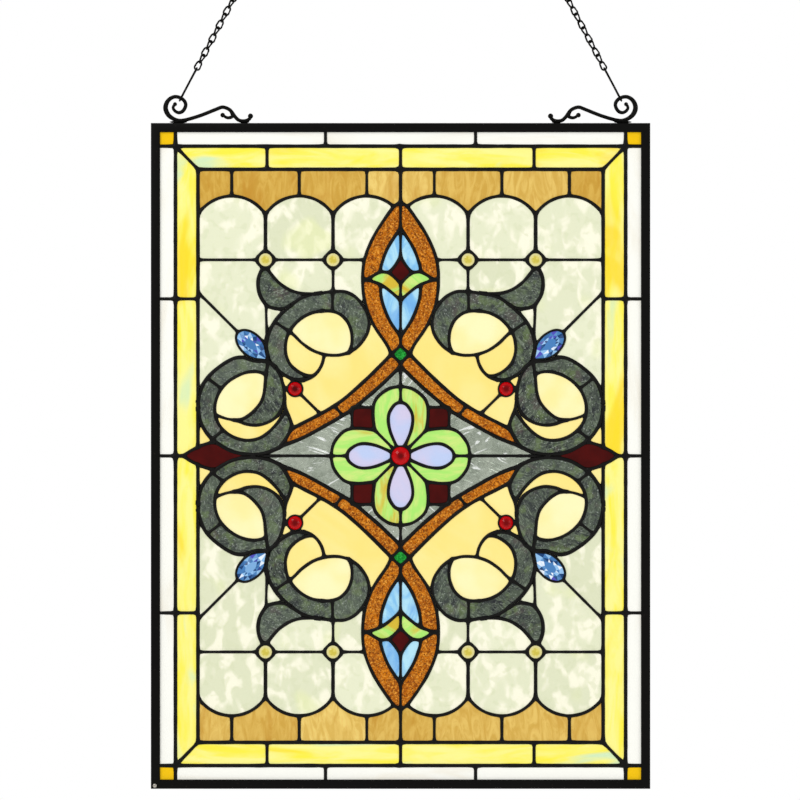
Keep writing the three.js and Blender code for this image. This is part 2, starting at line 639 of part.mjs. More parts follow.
// A closed loop of wire with straight sides, standing up the Z axis from the origin
function wireLoop(wire, bendRadius, length, sides, turn) {
  const geometry = new THREE.TorusGeometry(bendRadius, wire / 2, sides, LOOP_STEPS);
  geometry.rotateZ(Math.PI / LOOP_STEPS);
  const stretch = length / 2 - bendRadius;
  const position = geometry.attributes.position;
  for (let i = 0; i < position.count; i += 1) {
    position.setY(i, position.getY(i) + Math.sign(position.getY(i)) * stretch + length / 2);
  }
  geometry.rotateX(Math.PI / 2);
  geometry.rotateZ(THREE.MathUtils.degToRad(turn));
  return geometry;
}

// Where the hook, links and end ring of one side lie along the leaning line from the scroll
function hanger(side, out) {
  const lean = new THREE.Vector3(CHAIN_DIRECTION.x * out, 0, CHAIN_DIRECTION.z);
  const start = new THREE.Vector3(out * (PANEL_WIDTH / 2 - HOOK_INSET), 0, PANEL_HEIGHT / 2 + HOOK_HEIGHT);
  const turn = new THREE.Quaternion().setFromUnitVectors(new THREE.Vector3(0, 0, 1), lean);
  const at = (geometry, distance) => {
    geometry.applyQuaternion(turn);
    const place = start.clone().addScaledVector(lean, distance);
    geometry.translate(place.x, place.y, place.z);
    return solid(geometry);
  };
  const snug = SCROLL_WIRE / 2 + CLEARANCE + HOOK_WIRE / 2;
  const grip = CHAIN_WIRE / 2 + CLEARANCE + HOOK_WIRE / 2;
  const hook = at(wireLoop(HOOK_WIRE, snug, HOOK_REACH + snug + grip, WIRE_SIDES, QUARTER_TURN), -snug);
  const links = Array.from({ length: CHAIN_LINKS }, (_, i) => at(
    wireLoop(CHAIN_WIRE, (CHAIN_LINK_WIDTH - CHAIN_WIRE) / 2, LINK_REACH, LINK_SIDES, (i % 2) * QUARTER_TURN),
    HOOK_REACH + i * LINK_STEP,
  ));
  const endRing = at(
    wireLoop(CHAIN_WIRE, END_RING_RADIUS, 2 * END_RING_RADIUS, LINK_SIDES, (CHAIN_LINKS % 2) * QUARTER_TURN),
    HOOK_REACH + CHAIN_LINKS * LINK_STEP,
  );
  return [
    mesh(`${side}_hook`, hook, blackFinish),
    mesh(`${side}_chain`, joined([...links, endRing]), blackFinish),
  ];
}

// The height of the end rings' centres over the middle of the panel
const HANGING_HEIGHT = PANEL_HEIGHT / 2 + HOOK_HEIGHT
  + CHAIN_DIRECTION.z * (HOOK_REACH + CHAIN_LINKS * LINK_STEP + END_RING_RADIUS);

const group = new THREE.Group();
const panel = new THREE.Group();
panel.position.z = -HANGING_HEIGHT;
panel.add(frame(), mesh("lead_net", leadNet(), leadFinish), ...glassMeshes(), ...jewels());
for (const [side, out] of LEFT_RIGHT) {
  panel.add(scroll(side, out), ...hanger(side, out));
}
group.add(panel);

export default group;
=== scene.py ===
# %% [markdown]
# # A hanging stained glass panel
# The real thing is a sheet of about two hundred small panes, each wrapped in copper foil and soldered to its
# neighbours, with a black metal channel round it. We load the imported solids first, because every piece that
# we make has to stand where they stand.

import math
import random

import bpy
import numpy as np
from mathutils import Matrix, Vector, geometry, noise


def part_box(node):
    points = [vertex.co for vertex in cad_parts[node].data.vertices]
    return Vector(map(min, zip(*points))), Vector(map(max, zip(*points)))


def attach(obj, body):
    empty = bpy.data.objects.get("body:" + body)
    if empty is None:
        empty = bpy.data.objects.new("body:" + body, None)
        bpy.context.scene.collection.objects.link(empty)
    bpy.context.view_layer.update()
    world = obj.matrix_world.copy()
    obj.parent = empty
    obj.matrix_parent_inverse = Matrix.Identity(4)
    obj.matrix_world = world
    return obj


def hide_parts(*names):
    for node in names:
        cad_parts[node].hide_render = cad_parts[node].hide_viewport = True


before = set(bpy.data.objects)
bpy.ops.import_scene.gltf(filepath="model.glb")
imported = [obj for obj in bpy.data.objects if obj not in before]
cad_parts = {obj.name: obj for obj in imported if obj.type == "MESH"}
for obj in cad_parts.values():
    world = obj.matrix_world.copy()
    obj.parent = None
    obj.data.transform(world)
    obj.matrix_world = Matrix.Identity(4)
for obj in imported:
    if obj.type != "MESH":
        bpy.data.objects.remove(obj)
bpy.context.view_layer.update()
bar_low, bar_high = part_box("frame")
MIDDLE_HEIGHT = (bar_low[2] + bar_high[2]) / 2
print("panel", [round(1000 * (b - a), 1) for a, b in zip(bar_low, bar_high)], "mm")

# %% [markdown]
# ## The camera
# The photograph looks straight at the panel and shows it without any perspective, so the camera stands far
# off with a long lens. The width of the picture at the panel is a real length, and the lens follows from it.

# %% Camera
PICTURE_WIDTH = 0.7332
PICTURE_ABOVE_MIDDLE = 0.0512
PICTURE_LEFT_OF_MIDDLE = 0.0005
CAMERA_DISTANCE = 3.2

camera_data = bpy.data.cameras.new("camera")
camera_data.sensor_width = 36
camera_data.lens = 36 * CAMERA_DISTANCE / PICTURE_WIDTH
camera = bpy.data.objects.new("camera", camera_data)
camera.location = (-PICTURE_LEFT_OF_MIDDLE, -CAMERA_DISTANCE, MIDDLE_HEIGHT + PICTURE_ABOVE_MIDDLE)
camera.rotation_euler = (math.radians(90), 0, 0)
bpy.context.collection.objects.link(camera)
bpy.context.scene.camera = camera
print("lens", round(camera_data.lens), "mm")

# %% [markdown]
# ## Floor and light
# Stained glass is seen against light. The world is white to the eye and to clear glass, and dimmer as a lamp,
# so that black metal stays black. Two soft lamps in front model the beads of solder, and one behind the panel
# does the same for its back.

# %% Floor and light
FLOOR_DEPTH = 1.6
FLOOR_SIDE = 13
ROOM_LIGHT = 0.4

floor_mesh = bpy.data.meshes.new("floor")
half = FLOOR_SIDE / 2
floor_corners = ((-half, -half), (half, -half), (half, half), (-half, half))
floor_mesh.from_pydata([(x, y, -FLOOR_DEPTH) for x, y in floor_corners], [], [(0, 1, 2, 3)])
floor = bpy.data.objects.new("floor", floor_mesh)
bpy.context.collection.objects.link(floor)

scene = bpy.context.scene
scene.view_settings.view_transform = "Standard"
world = bpy.data.worlds.new("room")
world.use_nodes = True
scene.world = world
room = world.node_tree
path = room.nodes.new("ShaderNodeLightPath")
seen = room.nodes.new("ShaderNodeMath")
seen.operation = "MAXIMUM"
room.links.new(path.outputs["Is Camera Ray"], seen.inputs[0])
room.links.new(path.outputs["Is Transmission Ray"], seen.inputs[1])
strength = room.nodes.new("ShaderNodeMapRange")
room.links.new(seen.outputs[0], strength.inputs["Value"])
strength.inputs["To Min"].default_value = ROOM_LIGHT
room.links.new(strength.outputs["Result"], room.nodes["Background"].inputs["Strength"])
room.nodes["Background"].inputs["Color"].default_value = (1, 1, 1, 1)


def soft_lamp(name, place, aim, side, power):
    """A square lamp that shines on one point."""
    data = bpy.data.lights.new(name, "AREA")
    data.size = side
    data.energy = power
    lamp = bpy.data.objects.new(name, data)
    lamp.location = place
    lamp.rotation_euler = (Vector(aim) - Vector(place)).to_track_quat("-Z", "Y").to_euler()
    bpy.context.collection.objects.link(lamp)


centre = (0, 0, MIDDLE_HEIGHT)
soft_lamp("key", (-1.3, -1.8, 0.9), centre, 1.0, 16)
soft_lamp("fill", (1.6, -1.6, -0.2), centre, 1.2, 7)
soft_lamp("behind", (0.6, 2.0, 0.8), centre, 1.5, 22)
print("room light", ROOM_LIGHT)

# %% [markdown]
# ## Shader arithmetic
# A glass finish is a sum of noises and masks. Written as Python expressions it stays readable, so one small
# class stands for a socket: its operators add Math nodes, and one method adds any other node.

# %% The wire class
def linear(red, green, blue):
    """A colour as we see it on a screen, from 0 to 255, as the shader's own numbers."""
    shares = (red / 255, green / 255, blue / 255)
    return (*[((c + 0.055) / 1.055) ** 2.4 if c > 0.04 else c / 12.92 for c in shares], 1)


class Wire:
    """One output in a material. Arithmetic on it adds Math nodes."""

    def __init__(self, tree, socket=None):
        self.tree = tree
        self.socket = socket

    def node(self, kind, settings=None, sockets=None, output=0):
        """Adds a node, sets it up, then fills its sockets with values or links."""
        made = self.tree.nodes.new(kind)
        for name, setting in (settings or {}).items():
            setattr(made, name, setting)
        for name, value in (sockets or {}).items():
            if isinstance(value, Wire):
                self.tree.links.new(value.socket, made.inputs[name])
            else:
                made.inputs[name].default_value = value
        return Wire(self.tree, made.outputs[output])

    def math(self, operation, first, second):
        """A Math node."""
        return self.node("ShaderNodeMath", {"operation": operation}, {0: first, 1: second})

    def __add__(self, other):
        return self.math("ADD", self, other)

    __radd__ = __add__

    def __sub__(self, other):
        return self.math("SUBTRACT", self, other)

    def __rsub__(self, other):
        return self.math("SUBTRACT", other, self)

    def __mul__(self, other):
        return self.math("MULTIPLY", self, other)

    __rmul__ = __mul__

    def step(self, low, high):
        """0 under low, 1 over high, and smooth between."""
        return self.node("ShaderNodeMapRange", {"interpolation_type": "SMOOTHSTEP"},
                         {"Value": self, "From Min": low, "From Max": high})

    def blend(self, under, over):
        """One colour where this is 0 and the other where it is 1."""
        return self.node("ShaderNodeMix", {"data_type": "RGBA"}, {"Factor": self, 6: under, 7: over}, 2)


def grain(place, scale, detail=2.0, roughness=0.5, distortion=0.0):
    """Soft noise, from 0 to 1, with so many lumps to the metre."""
    return place.node("ShaderNodeTexNoise", {}, {
        "Vector": place, "Scale": scale, "Detail": detail, "Roughness": roughness, "Distortion": distortion})


def stretched(place, across, upright):
    """A place whose noise is squeezed across and drawn out upright."""
    return place.node("ShaderNodeVectorMath", {"operation": "MULTIPLY"}, {0: place, 1: (across, 1, upright)})


print("a mid grey is", [round(c, 3) for c in linear(128, 128, 128)])

# %% [markdown]
# ## A finish
# Every material here is one Principled shader. Glass that glows takes its colour twice: some as the colour of
# its surface and some as painted light that it gives off, standing in for the glow that coloured glass has
# with a bright sky behind it.

# %% Finish
finishes = {}


def new_tree(name):
    """A new material's node tree and its shader."""
    material = bpy.data.materials.new(name)
    material.use_nodes = True
    finishes[name] = material
    tree = material.node_tree
    return Wire(tree), tree.nodes["Principled BSDF"]


def feed(tree, shader, name, value):
    """A link where the value changes over the surface, and the socket's own value where it doesn't."""
    if isinstance(value, Wire):
        tree.links.new(value.socket, shader.inputs[name])
    else:
        shader.inputs[name].default_value = value


def finish(name, colour, roughness=0.25, metallic=0.0, specular=0.5, glow=0.0, clear=0.0,
           relief=None, relief_depth=0.0003):
    """Builds one material. colour, roughness and relief are functions of a place, or plain values."""
    wire, shader = new_tree(name)
    place = sheet_place(wire)
    made = colour(place) if callable(colour) else colour
    feed(wire.tree, shader, "Base Color", made)
    feed(wire.tree, shader, "Roughness", roughness(place) if callable(roughness) else roughness)
    feed(wire.tree, shader, "Metallic", metallic)
    feed(wire.tree, shader, "Specular IOR Level", specular)
    feed(wire.tree, shader, "Transmission Weight", clear)
    # Painted light: the glass gives off its own colour, standing in for light from behind.
    if glow:
        feed(wire.tree, shader, "Emission Color", made)
        feed(wire.tree, shader, "Emission Strength", glow)
    if relief:
        depth = {"Height": relief(place), "Distance": relief_depth, "Strength": 1.0}
        feed(wire.tree, shader, "Normal", wire.node("ShaderNodeBump", {}, depth))
    return finishes[name]


def sheet_place(wire):
    """A point's place on the sheet that its pane was cut from. Each pane is turned and shifted by itself."""
    spot = wire.node("ShaderNodeTexCoord", {}, {}, "Object")
    cut = wire.node("ShaderNodeAttribute", {"attribute_name": "cut"}, {}, "Vector")
    turn = wire.node("ShaderNodeAttribute", {"attribute_name": "turn"}, {}, "Fac")
    turned = wire.node("ShaderNodeVectorRotate", {"rotation_type": "Y_AXIS"}, {"Vector": spot, "Angle": turn})
    return wire.node("ShaderNodeVectorMath", {"operation": "ADD"}, {0: turned, 1: cut})


def tone_of(place):
    """A number from 0 to 1 that is the same all over a pane and differs from pane to pane."""
    return place.node("ShaderNodeAttribute", {"attribute_name": "tone"}, {}, "Fac")


print("finish ready")

# %% [markdown]
# ## Black metal and solder
# The channel, wire and chains are blackened. The seams are solder with a black patina, a little uneven,
# with faint brown flecks painted in at random as highlights. Both stay dark, with low gloss.

# %% Metal finishes
def patina_colour(place):
    # Painted highlights: faint brown flecks at random spots on the black.
    painted_highlight_flecks = grain(place, 420, 3).step(0.62, 0.8)
    return painted_highlight_flecks.blend(linear(8, 7, 6), linear(34, 28, 23))


def patina_roughness(place):
    return 0.34 + 0.25 * grain(place, 260, 2)


def solder_relief(place):
    return grain(place, 300, 3)


finish("black_patina", patina_colour, patina_roughness, metallic=0.0, specular=0.2,
       relief=solder_relief, relief_depth=0.0002)
finish("black_channel", patina_colour, patina_roughness, metallic=0.0, specular=0.12,
       relief=solder_relief, relief_depth=0.00008)
finish("bright_solder", linear(205, 200, 190), 0.35, metallic=0.9)
print(sorted(finishes))

# %% [markdown]
# ## Opalescent glass
# White, cream, yellow, tan, green and lilac glass is milky, with streaks or clouds of a second colour.
# Streaks are noise drawn out along the sheet, and clouds are plain soft noise.

# %% Opalescent finishes
def white_colour(place):
    streak = grain(stretched(place, 30, 6), 1, 3, 0.6, 1.2).step(0.5, 0.75)
    blush = grain(stretched(place, 60, 9), 1, 2).step(0.62, 0.8)
    milk = streak.blend(linear(250, 250, 243), linear(243, 239, 226))
    return (blush * 0.6).blend(milk, linear(248, 220, 208))


def yellow_colour(place):
    broad = grain(stretched(place, 26, 7), 1, 3, 0.55, 1.0)
    fine = grain(stretched(place, 90, 16), 1, 3, 0.6, 0.6)
    straw = fine.step(0.35, 0.7).blend(linear(252, 245, 146), linear(251, 238, 74))
    gold = (broad.step(0.56, 0.7) * 0.8).blend(straw, linear(250, 216, 40))
    return (1 - broad.step(0.30, 0.42)).blend(gold, linear(212, 236, 190))


def tan_colour(place):
    tone = tone_of(place)
    wisp = grain(stretched(place, 110, 30), 1, 4, 0.62, 1.8)
    deep = grain(stretched(place, 40, 14), 1, 3, 0.6, 0.8)
    pale = tone.blend(linear(212, 170, 74), linear(240, 208, 118))
    honey = wisp.step(0.36, 0.66).blend(tone.blend(linear(198, 152, 56), linear(218, 180, 88)), pale)
    return ((deep + 0.1 * (1 - tone)).step(0.58, 0.8) * 0.8).blend(honey, linear(192, 138, 44))


def field_colour(place):
    cloud = grain(stretched(place, 78, 52), 1, 2, 0.45, 0.4)
    spot = grain(place, 130, 1, 0.4, 0.3).step(0.56, 0.66)
    shade = tone_of(place).blend(linear(220, 224, 192), linear(232, 235, 205))
    cream = cloud.step(0.46, 0.62).blend(shade, linear(249, 247, 224))
    green = grain(place, 24, 1).step(0.6, 0.75)
    return (green * 0.5).blend((spot * 0.45).blend(cream, linear(216, 221, 186)), linear(232, 238, 176))


def oval_colour(place):
    haze = grain(place, 26, 2).step(0.35, 0.7)
    return haze.blend(linear(254, 246, 190), linear(253, 238, 162))


def warm_colour(place):
    haze = grain(stretched(place, 24, 12), 1, 3, 0.5, 0.5).step(0.35, 0.7)
    return haze.blend(linear(254, 236, 154), linear(253, 228, 130))


def lobe_colour(place):
    streak = grain(stretched(place, 110, 26), 1, 3, 0.6, 1.0)
    green = streak.step(0.4, 0.64).blend(linear(172, 234, 114), linear(206, 234, 130))
    amber = (grain(stretched(place, 70, 18), 1, 3, 0.6, 1.0) + 0.55 * tone_of(place)).step(0.82, 1.03)
    return amber.blend(green, linear(214, 184, 58))


def lilac_colour(place):
    haze = grain(place, 34, 2, 0.5, 0.6).step(0.3, 0.7)
    return haze.blend(linear(190, 206, 242), linear(212, 204, 232))


def smooth_ripple(place):
    return grain(place, 120, 2)


# glow is painted light from behind, given off by the glass itself.
milky = {"roughness": 0.22, "glow": 0.3, "specular": 0.2, "relief": smooth_ripple, "relief_depth": 0.0004}
finish("white_opal", white_colour, **milky)
finish("yellow_streaky", yellow_colour, **milky)
finish("tan_wispy", tan_colour, **milky)
finish("cream_mottled", field_colour, **milky)
finish("pale_cream", oval_colour, **milky)
finish("warm_cream", warm_colour, **milky)
finish("green_streaky", lobe_colour, **milky)
finish("lilac_opal", lilac_colour, **milky)
finish("corner_amber", linear(244, 196, 8), **milky)
print("opalescent", len(finishes))

# %% [markdown]
# ## Cathedral glass
# Amber, blue, green and dark red glass is clear through and through, with a textured face that breaks the
# light into specks, which on the amber and emerald glass are painted into the colour as glints and, on the
# amber, as dark flecks of shade. The scroll's glass is nearly black, with drawn-out threads of green, grey
# and violet.

# %% Cathedral finishes
def painted_glint_and_shade_flecks(place, scale, low, high):
    """Bright flecks where a hammered face turns the light towards us, as a mask of painted glints; the amber
    also uses it for painted dark flecks of shade.
    """
    return grain(place, scale, 2, 0.7, 0.8).step(low, high)


def amber_colour(place):
    deep = grain(place, 90, 2).step(0.35, 0.7).blend(linear(168, 88, 2), linear(204, 116, 6))
    # Painted shade: darker flecks where the hammered face turns the light away.
    dark = (painted_glint_and_shade_flecks(place, 480, 0.46, 0.6) * 0.9).blend(deep, linear(106, 46, 0))
    # Painted glints: bright flecks where the hammered face turns the light towards us.
    return painted_glint_and_shade_flecks(place, 620, 0.5, 0.68).blend(dark, linear(238, 162, 58))


def hammered_relief(place):
    return grain(place, 520, 2, 0.6, 0.5)


def blue_colour(place):
    wave = grain(stretched(place, 80, 22), 1, 3, 0.5, 1.5)
    sky = wave.step(0.35, 0.65).blend(linear(128, 192, 238), linear(180, 228, 246))
    return (grain(place, 36, 2).step(0.5, 0.7) * 0.7).blend(sky, linear(104, 166, 232))


def emerald_colour(place):
    # Painted glints: flecks of brighter green where the hammered face turns the light towards us.
    return painted_glint_and_shade_flecks(place, 480, 0.4, 0.7).blend(linear(4, 112, 30), linear(44, 178, 66))


def garnet_colour(place):
    return grain(place, 60, 2).step(0.3, 0.7).blend(linear(62, 2, 1), linear(78, 5, 3))


def scroll_colour(place):
    thread = grain(stretched(place, 520, 120), 1, 5, 0.72, 1.2)
    cloud = grain(place, 120, 4, 0.66, 0.5)
    dark = cloud.step(0.36, 0.62).blend(linear(34, 36, 42), linear(78, 88, 74))
    violet = (grain(place, 64, 3).step(0.55, 0.7) * 0.6).blend(dark, linear(84, 68, 70))
    moss = (grain(place, 90, 3).step(0.52, 0.66) * 0.7).blend(violet, linear(98, 116, 70))
    tint = (tone_of(place) * 0.45).blend(moss, linear(106, 116, 104))
    fleck = grain(place, 620, 3, 0.7).step(0.57, 0.7) * 0.6
    threaded = (thread.step(0.5, 0.66) * 0.7).blend(tint, linear(134, 146, 126))
    return fleck.blend(threaded, linear(188, 196, 188))


def scroll_relief(place):
    return grain(stretched(place, 260, 60), 1, 4, 0.6, 0.8)


def ripple_colour(place):
    wave = grain(stretched(place, 110, 26), 1, 3, 0.5, 2.2)
    mottle = grain(place, 260, 3, 0.6, 1.0).step(0.4, 0.62)
    grey = grain(place, 60, 2).step(0.3, 0.7).blend(linear(142, 152, 136), linear(176, 184, 168))
    mottled = (mottle * 0.5).blend(grey, linear(200, 208, 194))
    return wave.step(0.6, 0.68).blend(mottled, linear(246, 250, 246))


def ripple_relief(place):
    return grain(stretched(place, 170, 40), 1, 3, 0.5, 2.0)


# glow is painted light from behind, given off by the glass itself.
clear = {"roughness": 0.15, "glow": 0.3, "specular": 0.2}
finish("amber_hammered", amber_colour, relief=hammered_relief, relief_depth=0.0006, **clear)
finish("blue_rippled", blue_colour, relief=smooth_ripple, relief_depth=0.001, **clear)
finish("emerald_hammered", emerald_colour, relief=hammered_relief, relief_depth=0.0006, **clear)
finish("dark_red", garnet_colour, relief=smooth_ripple, relief_depth=0.0003, **clear)
finish("scroll_streaky", scroll_colour, relief=scroll_relief, relief_depth=0.0008, **clear)
finish("clear_ripple", ripple_colour, 0.08, clear=0.8, relief=ripple_relief, relief_depth=0.0012)
print("finishes", len(finishes))

# %% [markdown]
# ## Jewels
# A jewel is pressed or cut glass in its own bezel. Its facets catch different parts of the room, and that is
# painted
# into its colour: a round jewel is painted pale at its rim and deep in the middle, and a cut teardrop has a
# different painted blue on every facet, with white and violet glints among them.

# %% Jewel finishes
def from_middle(place):
    """How far a point of a jewel is from its axis, in millimetres."""
    spot = place.node("ShaderNodeTexCoord", {}, {}, "Object")
    flat = place.node("ShaderNodeVectorMath", {"operation": "MULTIPLY"}, {0: spot, 1: (1000, 0, 1000)})
    return place.node("ShaderNodeVectorMath", {"operation": "LENGTH"}, {0: flat}, "Value")


def gold_colour(place):
    # Painted reflection: pale at the rim and deeper in the middle, as the facets catch the room.
    rim = from_middle(place).step(2.6, 5.2)
    middle = grain(place, 300, 2).step(0.4, 0.65).blend(linear(206, 190, 78), linear(226, 212, 110))
    return rim.blend(middle, linear(234, 226, 160))


def ruby_colour(place):
    # Painted reflection: deep red in the middle and bright red towards the rim.
    rim = from_middle(place).step(1.0, 5.6)
    return (rim * 0.8 + 0.2 * tone_of(place)).blend(linear(72, 0, 1), linear(198, 2, 10))


def teardrop_colour(place):
    tone = tone_of(place)
    # Each facet's tone picks its painted reflection: deep, mid and pale blue facets, white glints, and a few
    # violet glints.
    mid = tone.step(0.2, 0.5).blend(linear(28, 66, 118), linear(74, 128, 188))
    pale = tone.step(0.58, 0.78).blend(mid, linear(144, 192, 236))
    with_painted_glints = tone.step(0.9, 0.95).blend(pale, linear(232, 242, 254))
    return (1 - tone.step(0.03, 0.06)).blend(with_painted_glints, linear(84, 84, 190))


# glow is painted light from behind, given off by the jewel itself.
polished = {"roughness": 0.1, "glow": 0.3, "specular": 0.2}
finish("gold_jewel", gold_colour, **polished)
finish("ruby_jewel", ruby_colour, **polished)
finish("blue_jewel", teardrop_colour, **polished)
print("all finishes", len(finishes))

# %% [markdown]
# ## Sizes
# All lengths below are in millimetres from the middle of the panel: x to the right, z up and y to the back.
# They are the real sizes of the channel, borders, leads and jewels.

# %% Sizes
PANEL_WIDTH = 457.2
PANEL_HEIGHT = 609.6
FRAME_FACE = 8.4
FRAME_DEPTH = 9
CHANNEL_BITE = 3.7
GLASS_THICKNESS = 3
WHITE_BAND_SIDE = 14
WHITE_BAND_TOP = 12.7
YELLOW_BAND_SIDE = 20.6
YELLOW_BAND_TOP = 21.2
TAN_ROW = 24.5
ARCH_RISE = 17
ARCH_COUNT = 6
YELLOW_JOINT_SHARE = 0.659
SIDE_JOINT_SHARE = 0.507
LEAD = 3.1
THICK = 3.5
THIN = 2.7
LEAD_RISE = 1.5
BACK_RISE = 1.1
POINT_STEP = 2.0
LONG_STEP = 5.0

INNER_X = PANEL_WIDTH / 2 - FRAME_FACE
INNER_Z = PANEL_HEIGHT / 2 - FRAME_FACE
SHEET_X = INNER_X + CHANNEL_BITE
SHEET_Z = INNER_Z + CHANNEL_BITE
WHITE_X = INNER_X - WHITE_BAND_SIDE
WHITE_Z = INNER_Z - WHITE_BAND_TOP
FIELD_X = WHITE_X - YELLOW_BAND_SIDE
FIELD_Z = WHITE_Z - YELLOW_BAND_TOP
print("field", 2 * FIELD_X, "by", round(2 * FIELD_Z, 1), "mm")

# %% [markdown]
# ## The cartoon
# A glazier draws the lead lines full size first. The design is the same in all four quarters, so only the
# upper right one is written down, from the middle outwards and upwards: name, width, run and points.

